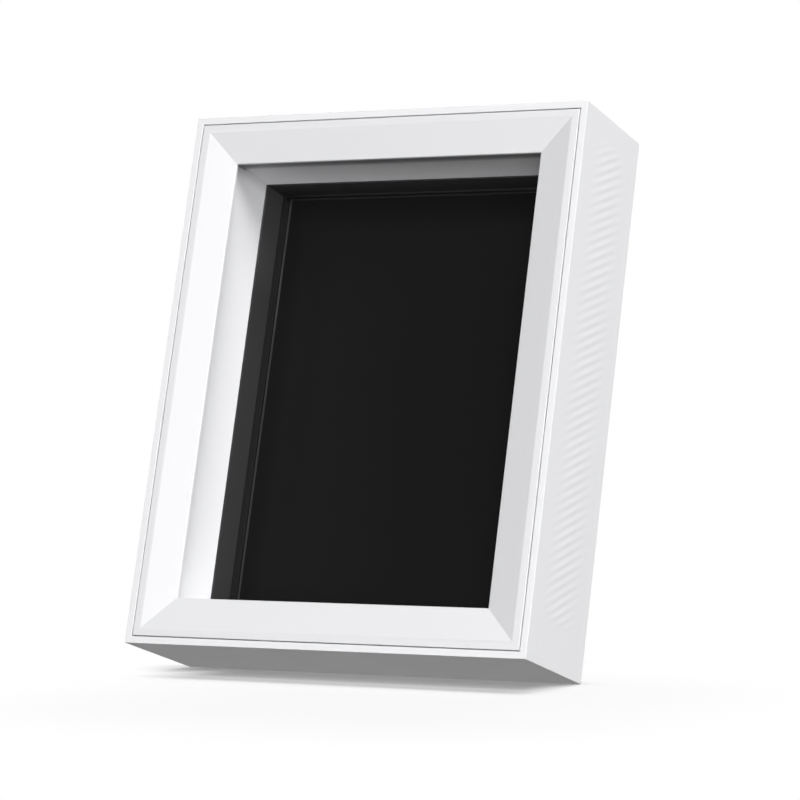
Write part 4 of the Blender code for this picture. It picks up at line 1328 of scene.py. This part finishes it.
class PHOTOFRAME_OT_stage(Operator):
    """Sets the floor, the studio light, the white surround and the camera"""

    bl_idname = "photo_frame.stage"
    bl_label = "Stage"

    def execute(self, context):
        scene = context.scene
        stage = scene.photo_frame_stage
        scene.view_settings.view_transform = "Standard"
        self.floor(scene.photo_frame_shape.floor_drop)
        for name, setting in LAMPS.items():
            box = add_softbox(name + "_softbox", getattr(stage, name + "_power"), *setting)
            box.visible_glossy = name not in NOT_MIRRORED
        self.surround(scene)
        lens = bpy.data.cameras.new("camera")
        lens.lens = stage.focal_length
        lens.sensor_width = 36.0
        lens.clip_end = 50.0
        camera = bpy.data.objects.new("camera", lens)
        camera.location = stage.camera_place
        camera.rotation_euler = (pi / 2 + stage.camera_pitch, 0.0, stage.camera_turn)
        scene.collection.objects.link(camera)
        scene.camera = camera
        return {"FINISHED"}

    def floor(self, drop):
        """A pale floor that keeps the shadow, has painted shade in front of the frame, and fades into
        the white surround.
        """
        clear_selection()
        bpy.ops.mesh.primitive_plane_add(size=FLOOR_SIZE, location=(0.0, 0.0, -drop))
        floor = named("floor")
        floor.visible_diffuse = False
        floor.visible_glossy = False
        floor.visible_shadow = False
        finish = Finish("pale_floor", roughness=1.0, specular=0.0)
        finish.surface(FLOOR_GREY)
        point = finish.place(turned=False)
        depth = finish.part(point, Y)
        soon = depth.most(STANDING_AT + SOONER * (depth - STANDING_AT))
        beside = finish.node("CombineXYZ", values={"X": finish.part(point, X), "Y": soon})
        away = self.distance(finish, beside, *UNDER_FRAME)
        away = away.least(self.distance(finish, beside, *ALONG_EDGE))
        away = away.least(self.distance(finish, point, *UNDER_STAND))
        # Painted shade: the white floor is a little greyer in front of the frame
        before = self.distance(finish, point, *PAINTED_SHADE_IN_FRONT)
        strength = 1.0 - FRONT_PAINTED_SHADE * finish.falling(before, 0.0, FRONT_REACH)
        white = finish.node("Emission", values={"Color": (1.0, 1.0, 1.0), "Strength": strength})
        lit = Reading(finish, finish.shader.outputs[0])
        fade = 1.0 - SHADE_SHARE * finish.falling(away, 0.0, SHADE_REACH)
        both = finish.node("MixShader", values={0: fade, 1: lit, 2: white})
        finish.wire(finish.tree.nodes["Material Output"].inputs["Surface"], both)
        floor.data.materials.append(finish.material)

    def distance(self, finish, point, middle, half):
        """How far a place on the floor is from a rectangle."""
        for operation, other in (("SUBTRACT", middle), ("ABSOLUTE", (0.0, 0.0, 0.0)),
                                 ("SUBTRACT", half), ("MAXIMUM", (0.0, 0.0, 0.0))):
            point = finish.node("VectorMath", {"operation": operation}, {0: point, 1: other})
        return finish.node("VectorMath", {"operation": "LENGTH"}, {0: point}, 1)

    def surround(self, scene):
        """A surround that is white where it is seen or mirrored and gives no other light."""
        scene.world = bpy.data.worlds.new("surround")
        scene.world.use_nodes = True
        nodes = Nodes(scene.world.node_tree)
        nodes.tree.nodes.clear()
        camera, glossy, clear = [nodes.node("LightPath", output=f"Is {kind} Ray")
                                 for kind in ("Camera", "Glossy", "Transmission")]
        white = nodes.node("Background", values={"Color": (1.0, 1.0, 1.0),
                                                 "Strength": camera.most(glossy).most(clear)})
        output = nodes.tree.nodes.new("ShaderNodeOutputWorld")
        nodes.wire(output.inputs["Surface"], white)


OPERATORS = (PHOTOFRAME_OT_housing, PHOTOFRAME_OT_bezel, PHOTOFRAME_OT_tunnel, PHOTOFRAME_OT_rear,
             PHOTOFRAME_OT_stand, PHOTOFRAME_OT_keys, PHOTOFRAME_OT_sockets, PHOTOFRAME_OT_feet,
             PHOTOFRAME_OT_screws, PHOTOFRAME_OT_kept, PHOTOFRAME_OT_stage)


class PHOTOFRAME_PT_sidebar(Panel):
    """Lists the pieces of the frame and their sizes"""

    bl_idname = "PHOTOFRAME_PT_sidebar"
    bl_label = "Photo Frame"
    bl_space_type = "VIEW_3D"
    bl_region_type = "UI"
    bl_category = "Photo Frame"

    def draw(self, context):
        for group in GROUPS:
            settings = getattr(context.scene, group)
            column = self.layout.column()
            for name in settings.__annotations__:
                column.prop(settings, name)
        for operator in OPERATORS:
            self.layout.operator(operator.bl_idname)


GROUPS = {
    "photo_frame_shape": PhotoFrameShape,
    "photo_frame_colours": PhotoFrameColours,
    "photo_frame_stage": PhotoFrameStage,
}
CLASSES = (*GROUPS.values(), *OPERATORS, PHOTOFRAME_PT_sidebar)


def register():
    for cls in CLASSES:
        bpy.utils.register_class(cls)
    for name, group in GROUPS.items():
        setattr(bpy.types.Scene, name, PointerProperty(type=group))


def unregister():
    for name in GROUPS:
        delattr(bpy.types.Scene, name)
    for cls in reversed(CLASSES):
        bpy.utils.unregister_class(cls)


def main():
    register()
    make_finishes(bpy.context.scene.photo_frame_colours)
    for operator in OPERATORS:
        group, step = operator.bl_idname.split(".")
        getattr(getattr(bpy.ops, group), step)()


if __name__ == "__main__":
    main()
